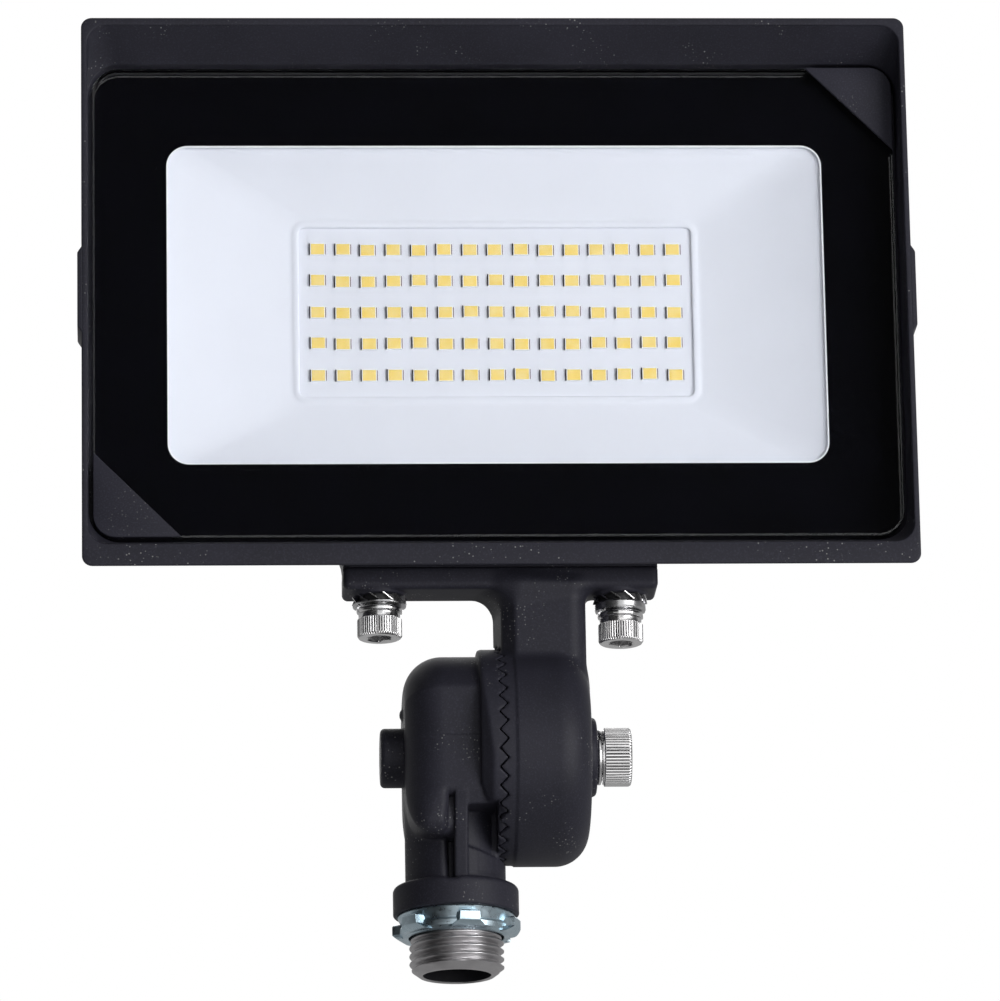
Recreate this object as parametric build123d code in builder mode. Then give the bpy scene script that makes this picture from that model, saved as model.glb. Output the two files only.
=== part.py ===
"""LED flood light on a serrated knuckle with a threaded nipple.

Millimetres, +Z up, the glass faces -Y and +X is to the right seen from the front. The origin
is on the nipple's axis, midway along its free thread. The lamp head tilts about the pivot
axis, which runs along X above the nipple.
"""
import os
from math import cos, pi, radians, sin, sqrt, tan

from build123d import *

os.makedirs("parts", exist_ok=True)

# Nipple and locknut
thread_r = 10.45
thread_free_length = 8.0
thread_end_chamfer = 1.0
thread_end_taper = 2.2
neck_relief_r = thread_r - 0.25
nipple_wall = 2.95
wire_way_r = thread_r - nipple_wall
locknut_height = 5.0
locknut_body_r = thread_r + 2.75
locknut_lug_r = locknut_body_r + 1.0
locknut_lug_count = 7
locknut_lug_width = 3.4
locknut_wall = 1.3
running_gap = 0.08
face_gap = 0.1
nut_below_gap = 0.4

# Radius of the knuckle's drum, which the arm's disc and pod follow
drum_r = 24.25
arm_disc_r = drum_r - 0.25

# Arm, the half of the knuckle that stands on the nipple
collar_r = thread_r + 3.45
collar_height = 6.5
collar_round = 1.3
column_r = thread_r + 0.65
pivot_above_collar = 35.85
pod_left_x = -11.2
pod_top_r = arm_disc_r - 1.6
pod_half_depth = arm_disc_r - 5.3
pod_drop = arm_disc_r - 3.3
pod_top_round = 8.6
pod_bottom_round = 5.0
pod_edge_round = 2.5
arm_disc_thickness = 4.95
arm_disc_chamfer = 1.4
arm_rib_width = 2.9
arm_rib_x = 0.75
arm_rib_foot_reach = 12.6
arm_rib_top_reach = 17.0
arm_recess_right_x = 8.1
arm_recess_drop = 10.6
arm_recess_bottom = 19.0
arm_recess_floor = 9.4
end_boss_r = 6.6
end_boss_height = 5.1
end_boss_round = 1.0
nipple_socket_depth = 6.0
nipple_socket_gap = 0.03

# Serration between the two halves
tooth_count = 45
tooth_height = 1.5
serration_x = 10.1
tooth_inner_r = arm_disc_r - 4.6
tooth_gap_axial = 0.08
seal_groove_r = tooth_inner_r - 1.4
seal_section_r = 0.85
seal_gap = 0.12
land_gap = 0.2
wire_ring_inner_r = 7.2
wire_ring_outer_r = 12.6
arm_pocket_depth = 15.0
drum_pocket_depth = 11.5

# Drum, neck and flange, the half of the knuckle that carries the head
drum_band_r = drum_r - 0.3
drum_band_width = 2.9
drum_right_x = 30.5
drum_shoulder_round = 7.5
drum_dome = 0.3
drum_boss_r = 8.8
drum_boss_height = 1.3
neck_front = 14.0
neck_depth = 12.6
neck_left_x = 9.35
neck_right_x = 29.85
neck_fillet_left = 3.8
neck_fillet_right = 2.6
bracket_edge_round = 1.0
flange_length = 69.8
flange_thickness = 4.8
flange_corner_round = 1.2
screw_boss_r = 5.9
screw_boss_height = 0.7
wire_hole_r = 2.6
wire_hole_setback = 0.7

# Pivot bolt, M8 with a socket head
thread_gap = 0.05
m8_shank_r = 3.95
m8_tapped_r = m8_shank_r + thread_gap
m8_clearance_r = m8_shank_r + 0.35
m8_head_r = 6.55
m8_head_height = 6.4
m8_length = 40.0
m8_socket_across = 6.0
m8_socket_depth = 3.6
m8_washer_r = 6.3
m8_washer_thickness = 1.15

# Bracket screws, M6 with a socket head
m6_spacing = 53.5
m6_shank_r = 2.95
m6_tapped_r = m6_shank_r + thread_gap
m6_clearance_r = m6_shank_r + 0.35
m6_head_r = 5.0
m6_collar_r = 4.7
m6_collar_height = 1.1
m6_head_height = 6.0
m6_length = 16.0
m6_bite = 7.0
m6_socket_across = 5.0
m6_socket_depth = 3.0
split_washer_r = 5.25
split_washer_thickness = 1.7
tooth_washer_ring_r = 4.9
tooth_washer_r = 6.0
tooth_washer_ring_thickness = 0.9
tooth_washer_thickness = (2.1, 3.5)
tooth_washer_teeth = 14

# Lamp head
head_x = 10.45
head_front = 24.0
pivot_below_head_centre = 101.65
rim_width = 185.0
rim_height = 127.2
rim_corner_r = 2.4
rim_face_side = 1.3
rim_face_top = 1.8
rim_face_bottom = 5.0
rim_depth = 15.0
rim_side_draft = 0.2
underside_rise = 4.3
body_step = 1.2
body_back_inset = 7.0
body_depth = 31.0
body_corner_r = 6.0
fin_depth = 15.0
fin_inset = 6.0
fin_pitch = 10.4
fin_gap = 7.8
fin_gap_count = 15
fin_corner_r = 12.0
front_opening_r = 4.4
rim_foot_side = 1.45
rim_foot_top = 7.9
glass_recess = 8.0
glass_groove = 1.0
glass_width = rim_width - 2 * (rim_foot_side + glass_groove)
glass_height = rim_height - 2 * (rim_foot_top + glass_groove)
glass_thickness = 4.0
glass_drop = 0.4
glass_corner_r = 6.0
corner_leg = 19.6
corner_lip = 1.5
corner_proud = 0.6
corner_plate_r = 5.0
corner_peg_r = 1.5
corner_peg_length = 4.0
gasket_thickness = 1.0
gasket_width = 5.0
gasket_inset = 1.6
ledge_width = 7.5
cavity_corner_r = 6.0
floor_thickness = 3.0
side_pad_length = 17.4
side_pad_height = 0.95
side_pad_depth = 13.0
side_pad_chamfer = 1.3
mount_pad_width = 71.0
mount_pad_depth = 13.2
bracket_gasket_r = 4.6
bracket_gasket_thickness = 1.0

# Light engine behind the glass
border_side = 16.3
border_top = 17.5
window_width = glass_width - 2 * border_side
window_height = glass_height - 2 * border_top
tray_margin = 3.0
tray_sheet = 1.0
tray_gap = 0.3
tray_corner_r = 5.0
tray_foot = 1.6
led_columns = 15
led_rows = 5
led_pitch_x = 5.72
led_pitch_z = 7.35
led_width = 3.5
led_height = 2.8
led_thickness = 0.8
led_margin_x = 2.41
led_margin_z = 3.7
led_opening_width = (led_columns - 1) * led_pitch_x + led_width + 2 * led_margin_x
led_opening_height = (led_rows - 1) * led_pitch_z + led_height + 2 * led_margin_z
led_opening_r = 3.0
led_face_depth = 17.4
board_inset = 23.5
board_width = window_width - board_inset
board_height = led_opening_height + 6.4
board_thickness = 1.6
board_screw_x = board_width / 2 - 4.0
board_screw_z = board_height / 2 - 7.0
m3_shank_r = 1.45
m3_tapped_r = m3_shank_r + thread_gap
m3_clearance_r = m3_shank_r + 0.25
m3_head_r = 2.75
m3_head_height = 1.5
m3_length = 6.0
m3_recess_r = 1.1
m3_recess_depth = 0.8
thermal_pad_thickness = 0.5
thermal_pad_inset = 2.0
pedestal_width = board_width + 4.0
pedestal_height = board_height + 2.0
driver_width = 140.0
driver_side_gap = 3.1
driver_board_thickness = 1.6
driver_standoff = 2.0
driver_standoff_r = 2.6
driver_screw_x = 65.0
driver_clear = 1.2

# Places worked out from the sizes above
thread_top_z = thread_free_length / 2
nipple_end_z = -thread_free_length / 2 - thread_end_chamfer
locknut_z = thread_top_z + nut_below_gap
collar_z = locknut_z + locknut_height + face_gap
column_z = collar_z + collar_height
pivot_z = collar_z + pivot_above_collar
arm_disc_x = serration_x - arm_disc_thickness
land_x = serration_x - land_gap / 2
rim_front_y = -head_front
head_z = pivot_z + pivot_below_head_centre
flange_y = -neck_front + neck_depth / 2
rim_bottom_z = head_z - rim_height / 2
flange_top_z = rim_bottom_z + 2.1
flange_z = flange_top_z - flange_thickness
screw_seat_z = flange_z - screw_boss_height
neck_x = (neck_left_x + neck_right_x) / 2
bolt_seat_x = drum_right_x + drum_dome + drum_boss_height
glass_z = head_z - glass_drop
glass_back = glass_recess + glass_thickness
ledge_depth = glass_back + gasket_thickness
floor_depth = body_depth - floor_thickness
board_front = led_face_depth + led_thickness
board_back = board_front + board_thickness
pedestal_front = board_back + thermal_pad_thickness
pocket_width = glass_width + 2 * glass_groove
pocket_height = glass_height + 2 * glass_groove
cavity_width = pocket_width - 2 * ledge_width
cavity_height = pocket_height - 2 * ledge_width
driver_height = (cavity_height - pedestal_height) / 2 - 2 * driver_side_gap
cut_leg = corner_leg - corner_lip * sqrt(2)
cut_line = (glass_width + glass_height) / 2 - cut_leg


def head_plane(depth, x=0.0, z=0.0):
    """Plane that faces the viewer, a depth behind the rim's front, about the glass centre."""
    origin = (head_x + x, rim_front_y + depth, glass_z + z)
    return Plane(origin=origin, x_dir=(1, 0, 0), z_dir=(0, -1, 0))


def pivot_plane(x):
    """Plane square to the pivot axis at one place along it, facing +X."""
    return Plane(origin=(x, 0, pivot_z), x_dir=(0, 1, 0), z_dir=(1, 0, 0))


def level_plane(z, x=0.0, y=0.0):
    """Level plane at one height, centred on a point."""
    return Plane(origin=(x, y, z), x_dir=(1, 0, 0), z_dir=(0, 0, 1))


def corner_triangle(width, height, leg, corner):
    """Corner points of one right triangle in the upper right or lower left corner."""
    x = corner * width / 2
    z = corner * height / 2
    return [(x, z), (x - corner * leg, z), (x, z - corner * leg)]


def leg_to_line(width, height, inward):
    """Leg that brings a corner cut of one outline to the glass's cut line, moved inward."""
    return (width + height) / 2 - cut_line + inward * sqrt(2)


pivot_axis = Axis((0, 0, pivot_z), (1, 0, 0))
nipple_axis = Axis((0, 0, 0), (0, 0, 1))
screw_places = [(head_x + side * m6_spacing / 2, flange_y) for side in (-1, 1)]
board_screw_places = [(i * board_screw_x, j * board_screw_z) for i in (-1, 1) for j in (-1, 1)]


def finish(builder, node):
    """Name a finished piece and write it."""
    builder.part.label = node
    export_step(builder.part, f"parts/{node}.step")


# One V-shaped gap of the serration. Its flanks run to one point on the pivot axis, so the
# teeth taper towards the middle and the two halves mate flank to flank.
def tooth_gap(shift, into):
    """Tool for one gap, straight above the pivot, cut into the half on the `into` side."""
    half_turn = pi / tooth_count
    with BuildPart() as tool:
        for r, stretch in ((arm_disc_r + 0.3, 1.2), (tooth_inner_r - 1.0, 1.6)):
            root = into * tooth_height / 2 * r / arm_disc_r
            crest = -root / cos(half_turn)
            side = r * tan(half_turn) * stretch
            top = root + (crest - root) * stretch
            with BuildSketch(level_plane(pivot_z + r, serration_x + shift)):
                with BuildLine():
                    Polyline((root, 0), (top, side), (top, -side), close=True)
                make_face()
        loft(ruled=True)
    return tool.part


def turned_copies(tool, first_angle):
    """Copies of a tool all round the pivot axis."""
    step = 360 / tooth_count
    return [tool.rotate(pivot_axis, first_angle + i * step) for i in range(tooth_count)]


# Threaded nipple. The thread's helix isn't cut: the free stretch is a plain major diameter.
with BuildPart() as threaded_nipple:
    with BuildSketch(Plane.XZ):
        with BuildLine():
            Polyline(
                (wire_way_r, nipple_end_z),
                (thread_r - thread_end_taper, nipple_end_z),
                (thread_r, -thread_free_length / 2),
                (thread_r, thread_top_z),
                (neck_relief_r, thread_top_z),
                (neck_relief_r, collar_z + nipple_socket_depth),
                (wire_way_r, collar_z + nipple_socket_depth),
                close=True,
            )
        make_face()
    revolve(axis=nipple_axis)
finish(threaded_nipple, "threaded_nipple")

# Locknut, a dished ring with lugs round its edge.
with BuildPart() as locknut:
    nut_bore_r = neck_relief_r + running_gap
    nut_top_z = locknut_z + locknut_height
    with BuildSketch(Plane.XZ):
        with BuildLine():
            Polyline(
                (nut_bore_r, locknut_z),
                (nut_bore_r + locknut_wall, locknut_z),
                (locknut_body_r, nut_top_z - 2 * locknut_wall),
                (locknut_body_r, nut_top_z),
                (locknut_body_r - locknut_wall, nut_top_z),
                (nut_bore_r, locknut_z + 1.6 * locknut_wall),
                close=True,
            )
        make_face()
    revolve(axis=nipple_axis)
    with BuildSketch(level_plane(nut_top_z - 2.2 * locknut_wall)):
        with PolarLocations((locknut_body_r + locknut_lug_r - 1.0) / 2, locknut_lug_count):
            Rectangle(locknut_lug_r - locknut_body_r + 1.0, locknut_lug_width)
    extrude(amount=2.2 * locknut_wall)
finish(locknut, "locknut")

# Pod of the arm: a rounded box that holds the wires' turning space.
with BuildPart() as pod:
    arc_z = sqrt(pod_top_r**2 - pod_half_depth**2)
    with BuildSketch(pivot_plane(pod_left_x)):
        with BuildLine():
            ThreePointArc((-pod_half_depth, arc_z), (0, pod_top_r), (pod_half_depth, arc_z))
            Polyline(
                (pod_half_depth, arc_z),
                (pod_half_depth, -pod_drop),
                (-pod_half_depth, -pod_drop),
                (-pod_half_depth, arc_z),
            )
        make_face()
    extrude(amount=arm_disc_x + 1.0 - pod_left_x)
    pod_right_x = arm_disc_x + 1.0
    with BuildSketch(Plane.XZ):
        with BuildLine():
            FilletPolyline(
                (pod_right_x, pivot_z + pod_top_r),
                (pod_left_x, pivot_z + pod_top_r),
                (pod_left_x, pivot_z - pod_drop),
                (pod_right_x, pivot_z - pod_drop),
                radius=pod_top_round,
            )
            Line((pod_right_x, pivot_z - pod_drop), (pod_right_x, pivot_z + pod_top_r))
        make_face()
    extrude(amount=2 * pod_top_r, both=True, mode=Mode.INTERSECT)
    front_edges = pod.edges().filter_by_position(Axis.Y, -pod_half_depth - 0.1, -pod_half_depth + 0.1)
    back_edges = pod.edges().filter_by_position(Axis.Y, pod_half_depth - 0.1, pod_half_depth + 0.1)
    right_of_pod = pod_right_x - 0.1
    rounded = [e for e in front_edges + back_edges if e.center().X < right_of_pod]
    fillet(rounded, pod_edge_round)

# Arm: pod, column, collar, toothed disc and tapped hub in one casting.
with BuildPart() as knuckle_base:
    with BuildSketch(level_plane(column_z)):
        Circle(column_r)
    extrude(amount=pivot_z - column_z)
    with BuildSketch(pivot_plane(serration_x - tooth_height / 2 - 0.3)):
        Circle(drum_r + 0.5)
    extrude(amount=drum_right_x, mode=Mode.SUBTRACT)
    add(pod.part)
    disc_right_x = serration_x + tooth_height / 2 - tooth_gap_axial
    with BuildSketch(Plane.XZ):
        with BuildLine():
            Polyline(
                (arm_disc_x, pivot_z),
                (arm_disc_x, pivot_z + arm_disc_r - arm_disc_chamfer),
                (arm_disc_x + arm_disc_chamfer, pivot_z + arm_disc_r),
                (disc_right_x, pivot_z + arm_disc_r),
                (disc_right_x, pivot_z),
                close=True,
            )
        make_face()
    revolve(axis=pivot_axis)
    recess_left_x = arm_rib_x - arm_rib_width / 2
    recess_top_z = pivot_z - arm_recess_drop
    with BuildSketch(Plane.XZ.offset(arm_recess_floor)):
        with BuildLine():
            Polyline(
                (recess_left_x, recess_top_z),
                (arm_recess_right_x, recess_top_z),
                (arm_recess_right_x, pivot_z - arm_disc_r - 1.0),
                (arm_disc_x, pivot_z - arm_disc_r - 1.0),
                (arm_disc_x, pivot_z - arm_recess_bottom),
                (recess_left_x, pivot_z - arm_recess_bottom),
                close=True,
            )
        make_face()
    extrude(amount=arm_disc_r, mode=Mode.SUBTRACT)
    with BuildSketch(pivot_plane(recess_left_x)):
        with BuildLine():
            Polyline(
                (-arm_recess_floor + 1.0, -arm_recess_drop + 2.0),
                (-arm_rib_top_reach, -arm_recess_drop + 2.0),
                (-arm_rib_top_reach + 0.6, -arm_recess_drop - 2.0),
                (-arm_rib_foot_reach, column_z - pivot_z - 0.5),
                (-arm_recess_floor + 1.0, column_z - pivot_z - 0.5),
                close=True,
            )
        make_face()
    extrude(amount=arm_rib_width)
    with BuildSketch(Plane.XZ):
        with BuildLine():
            Polyline((0, column_z), (0, collar_z), (collar_r, collar_z), (collar_r, column_z - collar_round))
            RadiusArc((collar_r, column_z - collar_round), (collar_r - collar_round, column_z), -collar_round)
            Line((collar_r - collar_round, column_z), (0, column_z))
        make_face()
    revolve(axis=nipple_axis)
    with BuildSketch(pivot_plane(pod_left_x - end_boss_height)):
        Circle(end_boss_r)
    extrude(amount=end_boss_height + 2.0)
    fillet(knuckle_base.edges().sort_by(Axis.X)[0], end_boss_round)
    with BuildSketch(pivot_plane(land_x)):
        Circle(tooth_inner_r)
    extrude(amount=tooth_height, mode=Mode.SUBTRACT)
    with BuildSketch(pivot_plane(land_x)):
        Circle(wire_ring_outer_r)
        Circle(wire_ring_inner_r, mode=Mode.SUBTRACT)
    extrude(amount=-arm_pocket_depth, mode=Mode.SUBTRACT)
    with BuildSketch(pivot_plane(land_x)):
        Circle(m8_tapped_r)
    extrude(amount=-(land_x - pod_left_x) - end_boss_height / 2, mode=Mode.SUBTRACT)
    with BuildSketch(level_plane(collar_z)):
        Circle(wire_way_r)
    extrude(amount=pivot_above_collar - wire_ring_outer_r + 5.0, mode=Mode.SUBTRACT)
    with BuildSketch(level_plane(collar_z)):
        Circle(neck_relief_r + nipple_socket_gap)
    extrude(amount=nipple_socket_depth, mode=Mode.SUBTRACT)
    arm_tool = tooth_gap(-tooth_gap_axial, -1)
    add(turned_copies(arm_tool, 180 / tooth_count), mode=Mode.SUBTRACT)
finish(knuckle_base, "knuckle_base")

# Seal ring between the two halves, in the drum's groove.
drum_land_x = serration_x + land_gap / 2
with BuildPart() as knuckle_seal:
    with BuildSketch(Plane.XZ):
        with Locations((drum_land_x + seal_section_r, pivot_z + seal_groove_r)):
            Circle(seal_section_r)
    revolve(axis=pivot_axis)
finish(knuckle_seal, "knuckle_seal")

# Bracket: flange, neck and toothed drum in one casting. The front view of the flange and the
# neck is one outline, with its fillets, as deep as the neck.
with BuildPart() as knuckle_bracket:
    flange_left_x = head_x - flange_length / 2
    flange_right_x = head_x + flange_length / 2
    neck_foot_z = pivot_z + 0.55 * drum_r
    with BuildSketch(Plane.XZ.offset(neck_front)):
        with BuildLine():
            Polyline(
                (neck_left_x, neck_foot_z),
                (neck_left_x, flange_z - neck_fillet_left),
            )
            RadiusArc(
                (neck_left_x, flange_z - neck_fillet_left),
                (neck_left_x - neck_fillet_left, flange_z),
                -neck_fillet_left,
            )
            FilletPolyline(
                (neck_left_x - neck_fillet_left, flange_z),
                (flange_left_x, flange_z),
                (flange_left_x, flange_top_z),
                (flange_right_x, flange_top_z),
                (flange_right_x, flange_z),
                (neck_right_x + neck_fillet_right, flange_z),
                radius=flange_corner_round,
            )
            RadiusArc(
                (neck_right_x + neck_fillet_right, flange_z),
                (neck_right_x, flange_z - neck_fillet_right),
                -neck_fillet_right,
            )
            Polyline(
                (neck_right_x, flange_z - neck_fillet_right),
                (neck_right_x, neck_foot_z),
                (neck_left_x, neck_foot_z),
            )
        make_face()
    extrude(amount=-neck_depth)
    outline = knuckle_bracket.edges().filter_by(Axis.Y, reverse=True)
    fillet([e for e in outline if e.center().Z > neck_foot_z + 0.1 and e.center().Z < flange_top_z - 0.1],
           bracket_edge_round)
    with BuildSketch(level_plane(screw_seat_z)):
        with Locations(*screw_places):
            Circle(screw_boss_r)
    extrude(amount=screw_boss_height + 1.0)
    drum_left_x = serration_x - tooth_height / 2
    shoulder_x = drum_right_x - drum_shoulder_round
    shoulder_r = drum_r - drum_shoulder_round
    with BuildSketch(Plane.XZ):
        with BuildLine():
            Polyline(
                (drum_left_x, pivot_z),
                (drum_left_x, pivot_z + drum_band_r),
                (drum_left_x + drum_band_width, pivot_z + drum_band_r),
                (drum_left_x + drum_band_width, pivot_z + drum_r),
                (shoulder_x, pivot_z + drum_r),
            )
            RadiusArc(
                (shoulder_x, pivot_z + drum_r),
                (drum_right_x, pivot_z + shoulder_r),
                drum_shoulder_round,
            )
            Polyline(
                (drum_right_x, pivot_z + shoulder_r),
                (drum_right_x + drum_dome, pivot_z + drum_boss_r + drum_boss_height),
                (bolt_seat_x, pivot_z + drum_boss_r - drum_boss_height),
                (bolt_seat_x, pivot_z),
                (drum_left_x, pivot_z),
            )
        make_face()
    revolve(axis=pivot_axis)
    with BuildSketch(pivot_plane(drum_land_x)):
        Circle(tooth_inner_r)
    extrude(amount=-tooth_height, mode=Mode.SUBTRACT)
    with BuildSketch(pivot_plane(drum_land_x)):
        Circle(wire_ring_outer_r)
        Circle(wire_ring_inner_r, mode=Mode.SUBTRACT)
    extrude(amount=drum_pocket_depth, mode=Mode.SUBTRACT)
    with BuildSketch(pivot_plane(drum_land_x)):
        Circle(seal_groove_r + seal_section_r + seal_gap)
        Circle(seal_groove_r - seal_section_r - seal_gap, mode=Mode.SUBTRACT)
    extrude(amount=2 * seal_section_r + seal_gap, mode=Mode.SUBTRACT)
    with BuildSketch(pivot_plane(serration_x)):
        Circle(m8_clearance_r)
    extrude(amount=bolt_seat_x, mode=Mode.SUBTRACT)
    with BuildSketch(level_plane(screw_seat_z)):
        with Locations(*screw_places):
            Circle(m6_clearance_r)
    extrude(amount=flange_top_z - screw_seat_z, mode=Mode.SUBTRACT)
    wire_x = drum_land_x + drum_pocket_depth / 2
    wire_y = flange_y + wire_hole_setback
    with BuildSketch(level_plane(flange_top_z)):
        with Locations((wire_x, wire_y)):
            Circle(wire_hole_r)
    extrude(amount=-(flange_top_z - pivot_z - wire_ring_outer_r / 2), mode=Mode.SUBTRACT)
    head_tool = tooth_gap(0, 1)
    add(turned_copies(head_tool, 0), mode=Mode.SUBTRACT)
finish(knuckle_bracket, "knuckle_bracket")

# Pivot bolt, from the drum's boss through the hub into the arm's tapped hole.
bolt_head_x = bolt_seat_x + face_gap + m8_washer_thickness
with BuildPart() as pivot_bolt:
    with BuildSketch(pivot_plane(bolt_head_x)):
        Circle(m8_head_r)
    extrude(amount=m8_head_height)
    chamfer(pivot_bolt.edges().sort_by(Axis.X)[-1], 0.5)
    with BuildSketch(pivot_plane(bolt_head_x)):
        Circle(m8_shank_r)
    extrude(amount=-m8_length)
    with BuildSketch(pivot_plane(bolt_head_x + m8_head_height)):
        RegularPolygon(m8_socket_across / 2, 6, major_radius=False)
    extrude(amount=-m8_socket_depth, mode=Mode.SUBTRACT)
finish(pivot_bolt, "pivot_bolt")


def split_ring(plane, outer_r, inner_r, thickness):
    """Spring washer: a ring with one slanted cut."""
    with BuildPart() as ring:
        with BuildSketch(plane):
            Circle(outer_r)
            Circle(inner_r, mode=Mode.SUBTRACT)
        extrude(amount=thickness)
        slit = Plane(plane.origin, x_dir=plane.z_dir, z_dir=plane.x_dir)
        with BuildSketch(slit):
            with BuildLine():
                Polyline(
                    (-0.2, -0.9),
                    (-0.2, -0.1),
                    (thickness + 0.2, 0.9),
                    (thickness + 0.2, 0.1),
                    close=True,
                )
            make_face()
        extrude(amount=outer_r + 1.0, mode=Mode.SUBTRACT)
    return ring.part


with BuildPart() as pivot_spring_washer:
    add(split_ring(pivot_plane(bolt_seat_x + face_gap), m8_washer_r, m8_clearance_r, m8_washer_thickness))
finish(pivot_spring_washer, "pivot_spring_washer")

# Washers and screws of the bracket. The right tooth washer is less flattened than the left
# one, so its screw's head stands lower.
stack_z = [screw_seat_z - t for t in tooth_washer_thickness]
head_top_z = [z - split_washer_thickness for z in stack_z]

with BuildPart() as bracket_tooth_washers:
    for (x, y), thickness in zip(screw_places, tooth_washer_thickness):
        ring_z = screw_seat_z - thickness
        with BuildSketch(level_plane(ring_z, x, y)):
            Circle(tooth_washer_ring_r)
            Circle(m6_clearance_r, mode=Mode.SUBTRACT)
        extrude(amount=thickness)
        with BuildSketch(level_plane(ring_z, x, y)):
            with PolarLocations((tooth_washer_ring_r + tooth_washer_r) / 2 - 0.2, tooth_washer_teeth):
                Rectangle(tooth_washer_r - tooth_washer_ring_r + 0.4, 1.1)
        extrude(amount=thickness)
finish(bracket_tooth_washers, "bracket_tooth_washers")

with BuildPart() as bracket_spring_washers:
    for (x, y), z in zip(screw_places, head_top_z):
        add(split_ring(level_plane(z, x, y), split_washer_r, m6_clearance_r, split_washer_thickness))
finish(bracket_spring_washers, "bracket_spring_washers")

with BuildPart() as bracket_screws:
    for (x, y), z in zip(screw_places, head_top_z):
        with BuildSketch(level_plane(z, x, y)):
            Circle(m6_collar_r)
        extrude(amount=-m6_collar_height)
        with BuildSketch(level_plane(z - m6_collar_height, x, y)):
            Circle(m6_head_r)
        extrude(amount=-(m6_head_height - m6_collar_height))
        chamfer(bracket_screws.edges().group_by(Axis.Z)[0], 0.4)
        with BuildSketch(level_plane(z, x, y)):
            Circle(m6_shank_r)
        extrude(amount=m6_length)
        with BuildSketch(level_plane(z - m6_head_height, x, y)):
            RegularPolygon(m6_socket_across / 2, 6, major_radius=False)
        extrude(amount=m6_socket_depth, mode=Mode.SUBTRACT)
finish(bracket_screws, "bracket_screws")

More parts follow.
